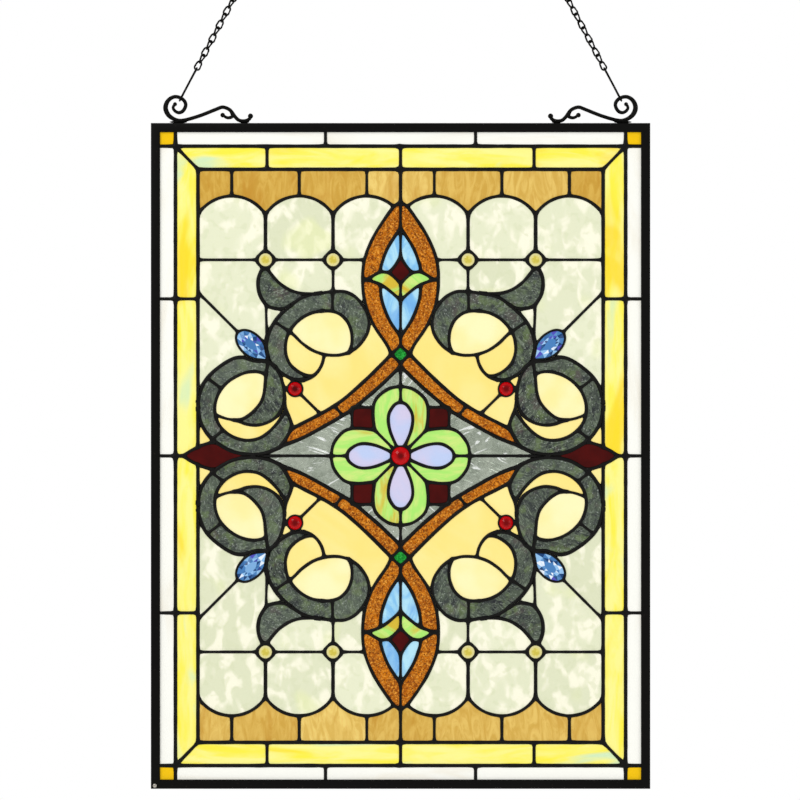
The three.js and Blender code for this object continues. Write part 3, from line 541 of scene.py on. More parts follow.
# %% Lead lines
CURVED = "curved"
STRAIGHT = "straight"
CARTOON_HALF_WIDTH = 185.6
CARTOON_HALF_HEIGHT = 262.5
JEWEL_LINE_HEIGHT = 179.6
ALMOND_TOP = 232.8
SIDE_LEAF_SHOULDER = (186, 7.8)
cartoon = [
    ("jewel line", THIN, STRAIGHT, [(CARTOON_HALF_WIDTH, JEWEL_LINE_HEIGHT), (33, JEWEL_LINE_HEIGHT)]),
    ("inner jewel to scroll", THIN, STRAIGHT, [(61.8, JEWEL_LINE_HEIGHT), (61.8, 150.6)]),
    ("horn to scroll", THIN, STRAIGHT, [(123.4, 140.6), (122.3, 101.5)]),
    ("border to teardrop", THIN, STRAIGHT, [(CARTOON_HALF_WIDTH, 150), (147.6, 112)]),
    ("teardrop to knot", THIN, STRAIGHT, [(125, 91), (121.3, 87.3)]),
    ("horn outside", THICK, CURVED, [
        (123.7, 173.2), (127.6, 169.5), (130.2, 162.5), (130.4, 154), (128, 145.5), (122, 137.6),
        (114, 134.9), (106.5, 135), (99.9, 138.4),
    ]),
    ("horn inside", LEAD, CURVED, [
        (123.7, 173.2), (115.6, 163.1), (110, 157.5), (101.2, 151.9), (91.2, 149), (80, 148.5), (71.2, 149.5),
        (61.6, 150.6),
    ]),
    ("horn foot", LEAD, CURVED, [(71.2, 149.5), (82.5, 147.6), (91.5, 144.2), (99.9, 138.4)]),
    ("upper ring outside", THICK, CURVED, [
        (99.9, 138.4), (107.5, 131.9), (115, 123.5), (120.2, 113.8), (122.8, 104.4), (123.2, 96.2),
        (121.3, 87.3),
    ]),
    ("knot", THICK, STRAIGHT, [(121.3, 87.3), (114.6, 81.4)]),
    ("upper ring foot", THICK, CURVED, [(114.6, 81.4), (110, 76.6), (102.5, 71.9), (96, 69.8), (88.5, 69.6)]),
    ("upper ring inside", LEAD, CURVED, [
        (71.9, 132.9), (82.5, 130.5), (91.9, 125.2), (99.4, 117.5), (103.8, 109.4), (105.5, 100),
        (104.8, 92.5), (101.5, 84.4), (95, 78.1), (88.1, 74.4), (81, 72.8),
    ]),
    ("upper ring joint", THIN, STRAIGHT, [(62.2, 150.6), (62.4, 132.4)]),
    ("upper ring side joint", THIN, STRAIGHT, [(115.2, 122.8), (101.7, 113.7)]),
    ("upper crescent outside", LEAD, CURVED, [
        (61.6, 150.6), (51.2, 150.4), (41.9, 146), (35, 138.5), (30.2, 130), (28.8, 121.2), (30.5, 112.5),
        (35, 104.8), (40.6, 98.8), (47.4, 94.4),
    ]),
    ("upper crescent inside", LEAD, CURVED, [
        (71.9, 132.9), (63.1, 132.4), (55.6, 129.8), (49.4, 124), (45.9, 116.9), (44.5, 110), (44.8, 102.5),
        (47.4, 94.4),
    ]),
    ("oval underside", LEAD, CURVED, [
        (47.4, 94.4), (57.5, 92.2), (68.8, 92.8), (80, 96.4), (90, 103.1), (96.2, 109.2), (102.4, 115),
    ]),
    ("lens edge", LEAD, CURVED, [
        (69.8, 92.8), (71.6, 85), (74.8, 78.6), (79.4, 73.6), (84, 70.8), (88.5, 69.6),
    ]),
    ("lower ring outside", THICK, CURVED, [
        (121.3, 87.3), (127, 86.8), (133, 87.0), (138.6, 88.4), (143.5, 90), (149, 90.2), (156, 87.9),
        (167, 80.8), (177.2, 71.2),
        (183, 60), (185.6, 46.7), (183.4, 32), (178, 21.5), (171.4, 13.7),
    ]),
    ("lower ring underside", THICK, CURVED, [
        (171.4, 13.7), (154, 4.1), (134.7, 1.2), (121.9, 3.3), (110.9, 8.2), (104.9, 16), (100.2, 24.4),
    ]),
    ("lower ring inside", LEAD, CURVED, [
        (123.3, 74.4), (128.1, 76.4), (133.8, 77.2), (141.2, 76.4), (150, 73.1), (158.8, 67.2), (165.4, 59.4),
        (169, 51.2), (170.2, 42.8), (169, 34.4), (164.8, 26.5), (158.1, 20.2), (149.4, 15.8), (139.4, 14.2),
        (129.4, 16.2), (120.6, 22), (113.1, 29.8), (107.8, 36.9), (105, 42),
    ]),
    ("lower ring joint", THIN, STRAIGHT, [(177, 71.4), (163.9, 61.4)]),
    ("lower ring foot joint", THIN, STRAIGHT, [(172.6, 15.4), (162, 23.8)]),
    ("knot to lower ring", LEAD, STRAIGHT, [(121.3, 87.3), (123.3, 74.4)]),
    ("lower crescent outside", LEAD, CURVED, [
        (114.6, 81.4), (110.4, 73.8), (107.6, 65), (106.6, 56.2), (107.2, 48.1), (110.6, 40), (116.2, 33.8),
        (123.8, 29.8), (132.5, 28.1), (141.2, 29), (147.5, 31.2), (152.5, 32.8),
    ]),
    ("lower crescent inside", LEAD, CURVED, [
        (123.3, 74.4), (123.9, 67.5), (124.8, 58.8), (127.2, 50.5), (131.9, 43.8), (137.5, 38.2),
        (144.4, 34.1), (152.5, 32.8),
    ]),
    ("lower oval underside", THIN, CURVED, [(169.4, 37.7), (160.6, 34.4), (152.5, 32.8)]),
    ("ring end to ribbon", THICK, CURVED, [
        (106.6, 54.1), (105.4, 44), (102, 35.6), (99.9, 29), (100.2, 24.4),
    ]),
    ("ruby to upper ring", THIN, STRAIGHT, [(96.7, 61.4), (98.8, 70.8)]),
    ("ruby to lower crescent", THIN, STRAIGHT, [(96.7, 61.4), (107.2, 62.2)]),
    ("ruby to ribbon", THIN, STRAIGHT, [(96.7, 61.4), (73.4, 38.6)]),
    ("almond outside", LEAD, CURVED, [
        (0, ALMOND_TOP), (6, 228.2), (12.8, 219.5), (24.7, 200.7), (32.5, 181.5), (34.8, 162.2),
        (32.5, 140.2), (24.7, 120.1), (12.8, 102.2), (8.5, 93),
    ]),
    ("almond inside, top", LEAD, CURVED, [(0, 209.2), (11.2, 191.5), (17, 176.9), (18.9, 168)]),
    ("almond inside, foot", LEAD, CURVED, [(18.8, 157.1), (17, 142.1), (10.3, 124.6), (0, 108.9)]),
    ("almond top joint", THIN, STRAIGHT, [(0, ALMOND_TOP), (0, 209.2)]),
    ("almond side joint", THIN, STRAIGHT, [(31, 161.4), (34.8, 162.2)]),
    ("almond foot joint", THIN, STRAIGHT, [(0, 108.9), (0, 101.2)]),
    ("heart upper seam", THIN, STRAIGHT, [(0, 209.2), (0, 182.8)]),
    ("heart lower seam", THIN, STRAIGHT, [(0, 142.1), (0, 108.9)]),
    ("garnet top", THIN, CURVED, [(0, 182.8), (5, 174.6), (10.5, 168)]),
    ("garnet foot", THIN, STRAIGHT, [(10.5, 168), (0, 158)]),
    ("leaf top", LEAD, CURVED, [(10.5, 168), (19.3, 168), (31, 161.4)]),
    ("leaf underside", LEAD, CURVED, [(31, 161.4), (18.2, 156.9), (8, 149.6), (0, 142.1)]),
    ("leaf seam", THIN, STRAIGHT, [(0, 158), (0, 142.1)]),
    ("ribbon top", THICK, CURVED, [
        (8.5, 93), (15, 86.3), (27.5, 73.8), (40, 62.2), (52.5, 51.6), (65, 43.2), (77.5, 36.2), (90, 29.9),
        (100.2, 24.4),
    ]),
    ("ribbon underside", THICK, CURVED, [
        (0, 82.2), (10.1, 72.2), (21.1, 61.9), (35.7, 49.5), (48.1, 39.9), (70.2, 27), (89.8, 16.5),
        (110.9, 8.2),
    ]),
    ("ribbon top seam", THIN, STRAIGHT, [(0, 84.9), (0, 82.2)]),
    ("ribbon joint", THIN, STRAIGHT, [(60.6, 46.1), (52.6, 36.4)]),
    ("emerald top", THIN, STRAIGHT, [(0, 101.2), (8.5, 93)]),
    ("emerald foot", THIN, STRAIGHT, [(8.5, 93), (0, 84.9)]),
    ("lobe side, upright", LEAD, CURVED, [
        (0, 63.9), (11.9, 60.9), (22.5, 51.8), (25.2, 39.9), (23.8, 23.8),
    ]),
    ("lobe side, level", LEAD, CURVED, [(63.9, 0), (60.9, 11.9), (51.8, 22.5), (39.9, 25.2), (23.8, 23.8)]),
    ("corner block", THIN, STRAIGHT, [(24.3, 44.5), (44.5, 44.5), (44.5, 24.3)]),
    ("lobe valley", THIN, STRAIGHT, [(23.8, 23.8), (6.4, 6.4)]),
    ("petal side, upright", LEAD, CURVED, [(2.2, 5.5), (9.6, 22.9), (11, 36.7), (6, 46.3), (0, 49.5)]),
    ("petal side, level", LEAD, CURVED, [(5.5, 2.2), (22.9, 9.6), (36.7, 11), (46.3, 6), (49.5, 0)]),
    ("upright seam", THIN, STRAIGHT, [(0, 49.5), (0, 82.2)]),
    ("level seam", THIN, STRAIGHT, [(49.5, 0), (150.3, 0)]),
    ("ring touch", LEAD, STRAIGHT, [(134.7, 0), (134.7, 1.4)]),
    ("crescent to almond", LEAD, STRAIGHT, [(34.4, 134.7), (29.3, 131.5)]),
    ("side leaf tip", LEAD, CURVED, [(199.3, 0), (192.5, 4.6), SIDE_LEAF_SHOULDER]),
    ("side leaf", LEAD, CURVED, [SIDE_LEAF_SHOULDER, (179.6, 10.5), (171.4, 12.8)]),
    ("side leaf to border", THIN, STRAIGHT, [(206.2, 0), (199.3, 0)]),
]
print(len(cartoon), "lines in a quarter")


# %% [markdown]
# The borders and the row of arches are worked out from the sizes, so they aren't drawn by hand.

# %% Border and arch lines
def on_field(point):
    """A point of the cartoon, on the field that the borders leave."""
    return np.array([point[0] * FIELD_X / CARTOON_HALF_WIDTH, point[1] * FIELD_Z / CARTOON_HALF_HEIGHT])


def smooth_run(points):
    """A smooth curve through points, as close-set points."""
    ends = [2 * points[0] - points[1], *points, 2 * points[-1] - points[-2]]
    run = []
    for before, start, end, after in zip(ends, ends[1:], ends[2:], ends[3:]):
        count = max(2, math.ceil(np.linalg.norm(end - start) / POINT_STEP))
        bend = 2 * before - 5 * start + 4 * end - after
        ease = 3 * start - before - 3 * end + after
        for t in np.arange(count) / count:
            run.append(0.5 * (2 * start + (end - before) * t + bend * t * t + ease * t ** 3))
    return [*run, points[-1]]


def straight_run(points):
    """Straight lines from point to point, cut into steps."""
    run = []
    for start, end in zip(points, points[1:]):
        count = max(1, math.ceil(np.linalg.norm(end - start) / LONG_STEP))
        run += [start + (end - start) * i / count for i in range(count)]
    return [*run, points[-1]]


def drawn(points, run):
    """A line of the cartoon in its place on the field."""
    placed = [on_field(point) for point in points]
    return smooth_run(placed) if run == CURVED else straight_run(placed)


third = WHITE_X / 3
side_joint = WHITE_Z * SIDE_JOINT_SHARE
leaf_height = on_field(SIDE_LEAF_SHOULDER)[1]
yellow_joint = FIELD_X * YELLOW_JOINT_SHARE
border_rows = [
    ((0, WHITE_Z), (SHEET_X, WHITE_Z), THICK),
    ((WHITE_X, 0), (WHITE_X, SHEET_Z), THICK),
    ((third, WHITE_Z), (third, SHEET_Z), LEAD),
    ((WHITE_X, side_joint), (SHEET_X, side_joint), LEAD),
    ((WHITE_X, 0), (SHEET_X, 0), LEAD),
    ((0, FIELD_Z), (FIELD_X, FIELD_Z), THICK),
    ((FIELD_X, leaf_height), (FIELD_X, FIELD_Z), THICK),
    ((FIELD_X, FIELD_Z), (WHITE_X, WHITE_Z), LEAD),
    ((0, FIELD_Z), (0, WHITE_Z), LEAD),
    ((yellow_joint, FIELD_Z), (yellow_joint, WHITE_Z), LEAD),
    ((FIELD_X, side_joint), (WHITE_X, side_joint), LEAD),
    ((0, on_field((0, ALMOND_TOP))[1]), (0, FIELD_Z), LEAD),
]
quarter_lines = [(straight_run([np.array(a), np.array(b)]), width) for a, b, width in border_rows]

pitch = 2 * FIELD_X / ARCH_COUNT
crown = FIELD_Z - TAN_ROW
arch_radius = (ARCH_RISE ** 2 + (pitch / 2) ** 2) / (2 * ARCH_RISE)
for arch in range(ARCH_COUNT // 2):
    middle = (arch + 0.5) * pitch
    start = on_field((6, 228.2))[0] - middle if arch == 0 else -pitch / 2
    across = np.linspace(start, pitch / 2, 24)
    line = [np.array([middle + x, crown - arch_radius + math.sqrt(arch_radius ** 2 - x * x)]) for x in across]
    quarter_lines.append((line, LEAD))
    if arch > 0:
        jewel = np.array([arch * pitch, on_field((0, JEWEL_LINE_HEIGHT))[1]])
        quarter_lines.append((straight_run([line[0], jewel]), THICK))
    upright = [np.array([middle, crown]), np.array([middle, FIELD_Z])]
    quarter_lines.append((straight_run(upright), THIN if arch == 0 else LEAD))
quarter_lines += [(drawn(points, run), width) for name, width, run, points in cartoon]
print(len(quarter_lines), "lines with borders and arches")

# %% [markdown]
# ## Jewel seats
# A jewel sits in a ring of solder. The ring's middle line parts the jewel's hole from the panes round it,
# like any other lead, so it joins the list of lines as a closed one. Round a gold jewel, where four leads
# meet, the solder fills the corners, so its ring is a round one cut off by four slanting sides.

# %% Seats
RING_STEPS = 40
UNCUT = 99
seats = {
    "centre_jewel": ((0, 0), 8.85, UNCUT, 1.5, 8.1),
    "ruby_jewel": ((96.7, 61.4), 6.9, UNCUT, 1.7, 6.05),
    "inner_gold_jewel": ((61.87, JEWEL_LINE_HEIGHT), 7.6, 9.8, 3.3, 5.7),
    "outer_gold_jewel": ((123.73, JEWEL_LINE_HEIGHT), 7.6, 9.8, 3.3, 5.7),
}
TEARDROP_TIP = (122.8, 88.8)
TEARDROP_LENGTH = 34.4
TEARDROP_WIDTH = 17.6
TEARDROP_ROUND_SHARE = 0.44
TEARDROP_BEZEL = 2.4
TEARDROP_TURN = math.radians(43)


def ring_reach(way, radius, slant):
    """How far the ring's middle line is from the jewel's centre in some direction."""
    return min(radius, slant / max(1e-9, abs(way[0]) + abs(way[1])))


def ring(centre, radius, slant):
    """The closed middle line of a round jewel's seat."""
    turns = 2 * math.pi * np.arange(RING_STEPS + 1) / RING_STEPS
    ways = [np.array([math.cos(t), math.sin(t)]) for t in turns]
    return [centre + way * ring_reach(way, radius, slant) for way in ways]


def teardrop(outset, count=36):
    """The cut teardrop's outline: an ellipse drawn out to a tip, grown by outset all round."""
    long = TEARDROP_LENGTH * TEARDROP_ROUND_SHARE
    middle, wide = TEARDROP_LENGTH - long, TEARDROP_WIDTH / 2
    touch = math.pi - math.acos(long / middle)
    slant = math.atan2(wide, math.sqrt(middle ** 2 - long ** 2))
    outline = [np.array([-outset / math.sin(slant), 0])]
    for t in np.linspace(-touch, touch, count):
        way = np.array([wide * math.cos(t), long * math.sin(t)])
        outline.append(np.array([middle + long * math.cos(t), wide * math.sin(t)])
                       + outset * way / np.linalg.norm(way))
    turn = np.array([[math.cos(TEARDROP_TURN), -math.sin(TEARDROP_TURN)],
                     [math.sin(TEARDROP_TURN), math.cos(TEARDROP_TURN)]])
    return [turn @ point + on_field(TEARDROP_TIP) for point in [*outline, outline[0]]]


for place, radius, slant, width, _ in seats.values():
    quarter_lines.append((ring(on_field(place), radius, slant), width))
quarter_lines.append((teardrop(TEARDROP_BEZEL / 2), TEARDROP_BEZEL))
print(len(seats) + 1, "seats in a quarter")

# %% [markdown]
# ## All four quarters
# Each line is mirrored left to right and top to bottom, unless it is its own mirror image. Its ends run on a
# little, so that it surely crosses the line that it is soldered to.

# %% Mirror the lines
END_OVERRUN = 1.0


def mirrors(points):
    """The signs of the quarters that hold a different copy of these points."""
    outs = (1,) if all(abs(point[0]) < 1e-6 for point in points) else (1, -1)
    ups = (1,) if all(abs(point[1]) < 1e-6 for point in points) else (1, -1)
    return [np.array([out, up]) for out in outs for up in ups]


def run_on(line):
    """The line with its open ends drawn out."""
    if np.linalg.norm(line[0] - line[-1]) < 1e-6:
        return line
    first = line[0] - line[1]
    last = line[-1] - line[-2]
    return [line[0] + first / np.linalg.norm(first) * END_OVERRUN, *line[1:-1],
            line[-1] + last / np.linalg.norm(last) * END_OVERRUN]


lines = []
for line, width in quarter_lines:
    centred = abs(sum(line[:-1])).max() < 1e-3
    for sign in [np.array([1, 1])] if centred else mirrors(line):
        lines.append(([point * sign for point in run_on(line)], width))
print(len(lines), "lines in the panel")

# %% [markdown]
# ## Cut the panes
# All lead lines together part the sheet into panes. A constrained triangulation keeps every line as an edge,
# so the triangles that can be reached from one another without crossing a line are one pane.

# %% Triangulate the sheet
EDGE_OF_SHEET = -1
points, segments, owners = [], [], []


def lay(run, owner):
    """Adds a run's points and steps. A closed run ends at the point that it began with."""
    closed = np.linalg.norm(np.subtract(run[0], run[-1])) < 1e-6
    first, count = len(points), len(run) - closed
    for x, z in run[:count]:
        points.append(Vector((max(-SHEET_X, min(SHEET_X, x)), max(-SHEET_Z, min(SHEET_Z, z)))))
    for i in range(len(run) - 1):
        segments.append((first + i, first + (i + 1) % count))
        owners.append(owner)


sheet_corners = ((-1, -1), (1, -1), (1, 1), (-1, 1), (-1, -1))
lay([(out * SHEET_X, up * SHEET_Z) for out, up in sheet_corners], EDGE_OF_SHEET)
for number, (run, width) in enumerate(lines):
    lay(run, number)
corners, edges, triangles, _, edge_sources, _ = geometry.delaunay_2d_cdt(points, segments, [], 0, 1e-4)
corners = np.array([(c.x, c.y) for c in corners])


def wound(triangle):
    """The same corners, anticlockwise as seen from the front."""
    a, b, c = (corners[i] for i in triangle)
    turn = (b[0] - a[0]) * (c[1] - a[1]) - (b[1] - a[1]) * (c[0] - a[0])
    return tuple(triangle) if turn > 0 else tuple(reversed(triangle))


SEAT_MARGIN = 0.12


def in_seat(spot):
    """Whether a spot lies inside a round jewel's seat, where the leads that aim at the jewel stop."""
    for place, radius, slant, _, _ in seats.values():
        reach = abs(spot) - on_field(place)
        length = np.linalg.norm(reach)
        if length < 1e-6 or length < ring_reach(reach / length, radius, slant) - SEAT_MARGIN:
            return True
    return False


triangles = [wound(t) for t in triangles]
lead_on = {}
for (a, b), sources in zip(edges, edge_sources):
    if sources and not in_seat((corners[a] + corners[b]) / 2):
        lead_on[a, b] = lead_on[b, a] = min(owners[s] for s in sources)
beside = {}
for number, (a, b, c) in enumerate(triangles):
    beside[a, b] = beside[b, c] = beside[c, a] = number
print(len(triangles), "triangles")

# %% [markdown]
# Each pane is then a set of triangles, and its outline is walked round edge by edge. Slivers are left where
# leads run side by side. They are too narrow for glass and will be filled with solder.

# %% Gather the panes
pane_of = {}
panes = []
for first in range(len(triangles)):
    if first in pane_of:
        continue
    members, waiting = [], [first]
    pane_of[first] = len(panes)
    while waiting:
        number = waiting.pop()
        members.append(number)
        a, b, c = triangles[number]
        for edge in ((a, b), (b, c), (c, a)):
            other = beside.get(edge[::-1])
            if edge not in lead_on and other is not None and other not in pane_of:
                pane_of[other] = len(panes)
                waiting.append(other)
    panes.append(members)


def outlines(members):
    """The closed outlines of a pane, as lists of corners with the pane on their left."""
    inside = set(members)
    rim = set()
    for number in members:
        a, b, c = triangles[number]
        rim.update(edge for edge in ((a, b), (b, c), (c, a)) if beside.get(edge[::-1]) not in inside)
    loops = []
    while rim:
        start = edge = min(rim)
        loop = []
        while edge in rim:
            rim.remove(edge)
            loop.append(edge[0])
            a, b = edge
            while True:
                triangle = triangles[beside[a, b]]
                c = triangle[(triangle.index(b) + 1) % 3]
                if (b, c) in rim or (b, c) == start:
                    break
                a = c
            edge = (b, c)
        loops.append(loop)
    return loops


def area(members):
    """A pane's area in square millimetres."""
    total = 0
    for number in members:
        (ax, az), (bx, bz), (cx, cz) = corners[list(triangles[number])]
        total += ((bx - ax) * (cz - az) - (bz - az) * (cx - ax)) / 2
    return total


def rim_length(loop):
    """How long a closed outline is."""
    return np.linalg.norm(corners[loop] - np.roll(corners[loop], 1, axis=0), axis=1).sum()


NARROWEST_PANE = 1.5
pane_loops = [outlines(members) for members in panes]
pane_widths = []
for members, loops in zip(panes, pane_loops):
    pane_widths.append(2 * area(members) / max(sum(rim_length(loop) for loop in loops), 1e-9))
wide_panes = sum(width > NARROWEST_PANE for width in pane_widths)
print(len(panes), "regions,", wide_panes, "wide enough for glass or a jewel")

# %% [markdown]
# ## Which glass goes where
# One point inside a pane of each quarter says what it is cut from. The borders and the arches' row are told
# by where they are, and the rest of the field is mottled cream.

# %% Choose the glass
glass_points = {
    "scroll": [(121, 153), (87.1, 136.6), (112.7, 97.1), (40.3, 117.3), (151.2, 82), (178.7, 46.7),
               (137.5, 8.7), (116.4, 55)],
    "oval": [(73.3, 110), (151.2, 55)],
    "warm": [(87, 89), (139.5, 21), (55, 73.3), (105, 69.2), (96.2, 45.8), (182.4, 15.6)],
    "almond": [(26, 175), (24.3, 139.3)],
    "ribbon": [(20, 72), (77.9, 28.9)],
    "emerald": [(0.8, 93.5)],
    "heart": [(5, 188)],
    "drop": [(8, 137)],
    "leaf": [(13.5, 161.5)],
    "kite": [(2, 168)],
    "lobe": [(18, 54), (54, 18)],
    "upright_petal": [(1.5, 32)],
    "level_petal": [(32, 1.5)],
    "block": [(34.5, 34.5)],
    "upright_ripple": [(8, 70)],
    "level_ripple": [(76, 8)],
    "side_leaf": [(178, 0.5)],
    "seat": [place for place, *_ in seats.values()] + [(137, 102)],
}
flat = corners[np.array(triangles)]


def region_at(point):
    """The region that holds a point."""
    sides = []
    for i in range(3):
        edge = flat[:, (i + 1) % 3] - flat[:, i]
        reach = point - flat[:, i]
        sides.append(edge[:, 0] * reach[:, 1] - edge[:, 1] * reach[:, 0])
    return pane_of[int(np.argmax(np.min(sides, axis=0)))]


pane_kind = {}
for kind, places in glass_points.items():
    for place in places:
        for out in (1, -1):
            for up in (1, -1):
                pane_kind[region_at(on_field(place) * (out, up))] = kind


def middle_of(members):
    """The middle of a pane's largest triangle."""
    return flat[max(members, key=lambda number: area([number]))].mean(axis=0)


for number, members in enumerate(panes):
    x, z = abs(middle_of(members))
    if pane_widths[number] < NARROWEST_PANE:
        pane_kind[number] = "solder"
    elif number not in pane_kind:
        if x > WHITE_X and z > WHITE_Z:
            pane_kind[number] = "corner"
        elif x > WHITE_X or z > WHITE_Z:
            pane_kind[number] = "white"
        elif x > FIELD_X or z > FIELD_Z:
            pane_kind[number] = "yellow"
        elif abs(corners[[i for loop in pane_loops[number] for i in loop]][:, 1]).max() > FIELD_Z - 1:
            pane_kind[number] = "tan"
        else:
            pane_kind[number] = "field"
counts = {kind: list(pane_kind.values()).count(kind) for kind in sorted(set(pane_kind.values()))}
print(counts)

# %% [markdown]
# ## The seams
# Solder is drawn to where foil is, and fills the corner between two seams with a small curve. We get the same
# fillets from a soft distance: near a corner both seams count, so the seam's foot moves away from the corner.
# Each pane gets a skirt from the middle line of its leads down to that foot, and the skirts of neighbouring
# panes share their ridge.

# %% Seam feet
CORNER_SOFTNESS = 0.8
UNEVENNESS = 0.22
FIRST_STEP_IN = 0.4
FOOT_ROUNDS = 14
PROBE = 0.05
LONGEST_MOVE = 0.8


def clearance(spots, starts, ends, groups, halves):
    """How far each spot is from the seams round its pane, less their half width, with rounded corners."""
    reach = ends - starts
    share = np.einsum("psk,sk->ps", spots[:, None] - starts, reach) / np.maximum((reach ** 2).sum(1), 1e-9)
    nearest = starts + np.clip(share, 0, 1)[..., None] * reach
    distance = np.linalg.norm(spots[:, None] - nearest, axis=2)
    soft = sum(np.exp(-(distance[:, groups == g].min(axis=1) - half) / CORNER_SOFTNESS) for g, half in halves)
    return -CORNER_SOFTNESS * np.log(np.maximum(soft, 1e-12))


def unevenness(spots, scale=9.0):
    """How far hand work strays at each spot, from -1 to 1."""
    return np.array([noise.noise(Vector((x / scale, z / scale, 3.7))) for x, z in spots])


def inward(loop):
    """The direction into the pane at each corner of its outline."""
    spots = corners[loop]
    ahead = np.roll(spots, -1, axis=0) - spots
    ahead /= np.maximum(np.linalg.norm(ahead, axis=1), 1e-9)[:, None]
    both = ahead + np.roll(ahead, 1, axis=0)
    across = np.stack([-both[:, 1], both[:, 0]], axis=1)
    return across / np.maximum(np.linalg.norm(across, axis=1), 1e-6)[:, None]


def seam_feet(loops):
    """Where the seams round a pane come down to the glass, one spot for each corner of its outlines."""
    starts, ends, groups = [], [], []
    for loop in loops:
        for a, b in zip(loop, loop[1:] + loop[:1]):
            owner = lead_on.get((a, b), EDGE_OF_SHEET)
            if owner != EDGE_OF_SHEET:
                starts.append(corners[a])
                ends.append(corners[b])
                groups.append(owner)
    starts, ends, groups = np.array(starts), np.array(ends), np.array(groups)
    halves = [(g, lines[g][1] / 2) for g in sorted(set(groups.tolist()))]
    feet = []
    for loop in loops:
        spots = corners[loop] + FIRST_STEP_IN * inward(loop)
        wanted = UNEVENNESS * unevenness(corners[loop])
        for _ in range(FOOT_ROUNDS):
            here = clearance(spots, starts, ends, groups, halves)
            slope = np.stack([
                clearance(spots + (PROBE, 0), starts, ends, groups, halves) - here,
                clearance(spots + (0, PROBE), starts, ends, groups, halves) - here], axis=1) / PROBE
            steep = np.maximum((slope ** 2).sum(axis=1), 0.05)
            move = np.clip((wanted - here) / steep, -LONGEST_MOVE, LONGEST_MOVE)
            spots = spots + move[:, None] * slope
        feet.append(spots)
    return feet


all_feet = [seam_feet(loops) for loops in pane_loops]
for place, _, _, _, shown in seats.values():
    for sign in mirrors([on_field(place)]):
        centre = on_field(place) * sign
        number = region_at(centre)
        all_feet[number] = []
        for loop in pane_loops[number]:
            reach = corners[loop] - centre
            all_feet[number].append(centre + shown * reach / np.linalg.norm(reach, axis=1)[:, None])
print("feet for", sum(len(feet) for pane in all_feet for feet in pane), "outline corners")

# %% [markdown]
# The seam's cross section is a low half ellipse. It stands a little higher where seams meet, because the
# iron rests there, and the height wanders as hand work does. A sliver between two leads is solder all over.

# %% Seam mesh
FRONT_SHARES = (0.0, 0.14, 0.42, 1.0)
BACK_SHARES = (0.0, 0.35, 1.0)
SUNK = 0.05
USUAL_RIDGE = 0.92
RIDGE_WANDER = 0.22
WANDER_LENGTH = 14.0
JOINT_RISE = 0.14
JOINT_REACH = 3
meetings = {}
for a, b in lead_on:
    meetings.setdefault(a, set()).add(b)
joints = np.array([corners[a] for a, others in meetings.items() if len(others) > 2])


def ridge_height(spots):
    """The seam's height over the glass at each spot of its middle line, as a share of its usual rise."""
    nearest = np.linalg.norm(spots[:, None] - joints, axis=2).min(axis=1)
    joint_rise = JOINT_RISE * np.exp(-(nearest / JOINT_REACH) ** 2)
    return USUAL_RIDGE + RIDGE_WANDER * unevenness(spots, WANDER_LENGTH) + joint_rise


def add_mesh(name, vertices, faces, smooth=True, sharp_from=None):
    """A mesh object from millimetres measured from the middle of the panel."""
    mesh = bpy.data.meshes.new(name)
    mesh.from_pydata([(x / 1000, y / 1000, z / 1000 + MIDDLE_HEIGHT) for x, y, z in vertices], [], faces)
    mesh.validate()
    if smooth:
        mesh.shade_smooth()
    if sharp_from:
        mesh.set_sharp_from_angle(angle=math.radians(sharp_from))
    piece = bpy.data.objects.new(name, mesh)
    bpy.context.collection.objects.link(piece)
    return piece


def dress(piece, finish_name, slot, *nodes):
    """Gives a piece its finish and its place on the body, and hides the solids that it stands for."""
    piece.data.materials.append(finishes[finish_name])
    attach(piece, "root")
    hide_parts(*nodes)


seam_spots, seam_faces = [], []
known = {}


def seam_point(x, z, side, height):
    """One point of the net, shared by all the skirts that meet in it."""
    x = max(-INNER_X, min(INNER_X, x))
    z = max(-INNER_Z, min(INNER_Z, z))
    y = side * (GLASS_THICKNESS / 2 - SUNK + height)
    key = (round(x, 3), round(y, 3), round(z, 3))
    if key not in known:
        known[key] = len(seam_spots)
        seam_spots.append((x, y, z))
    return known[key]


for side, rise, shares in ((-1, LEAD_RISE, FRONT_SHARES), (1, BACK_RISE, BACK_SHARES)):
    for number, (loops, pane_feet) in enumerate(zip(pane_loops, all_feet)):
        if pane_kind[number] == "solder":
            for triangle in panes[number]:
                spots = corners[list(triangles[triangle])]
                heights = rise * ridge_height(spots)
                face = [seam_point(x, z, side, height) for (x, z), height in zip(spots, heights)]
                if len(set(face)) == 3:
                    seam_faces.append(face[::-1] if side < 0 else face)
            continue
        for loop, feet in zip(loops, pane_feet):
            ridge = corners[loop]
            heights = rise * ridge_height(ridge)
            rows = []
            for foot, top, height in zip(feet, ridge, heights):
                row = []
                for share in shares:
                    x, z = foot + (top - foot) * share
                    row.append(seam_point(x, z, side, height * math.sqrt(1 - (1 - share) ** 2)))
                rows.append(row)
            for i, a in enumerate(loop):
                after = (i + 1) % len(loop)
                if lead_on.get((a, loop[after]), EDGE_OF_SHEET) == EDGE_OF_SHEET:
                    continue
                for low in range(len(shares) - 1):
                    face = [rows[i][low + 1], rows[i][low], rows[after][low], rows[after][low + 1]]
                    face = list(dict.fromkeys(face if side < 0 else face[::-1]))
                    if len(face) > 2:
                        seam_faces.append(face)
dress(add_mesh("lead_net", seam_spots, seam_faces), "black_patina", "lead", "lead_net")
print(len(seam_faces), "faces in the seams")

# %% [markdown]
# ## The panes
# Every pane is a flat slab that stops just short of its neighbours, under the seam. Panes of one glass that
# lie together are one object, but each keeps its own marks: where on the sheet it was cut, how it was
# turned, and its tone.

# %% Pane slabs
PANE_GAP = 0.35
MOST_ASKEW = 0.12
chance = random.Random(11)


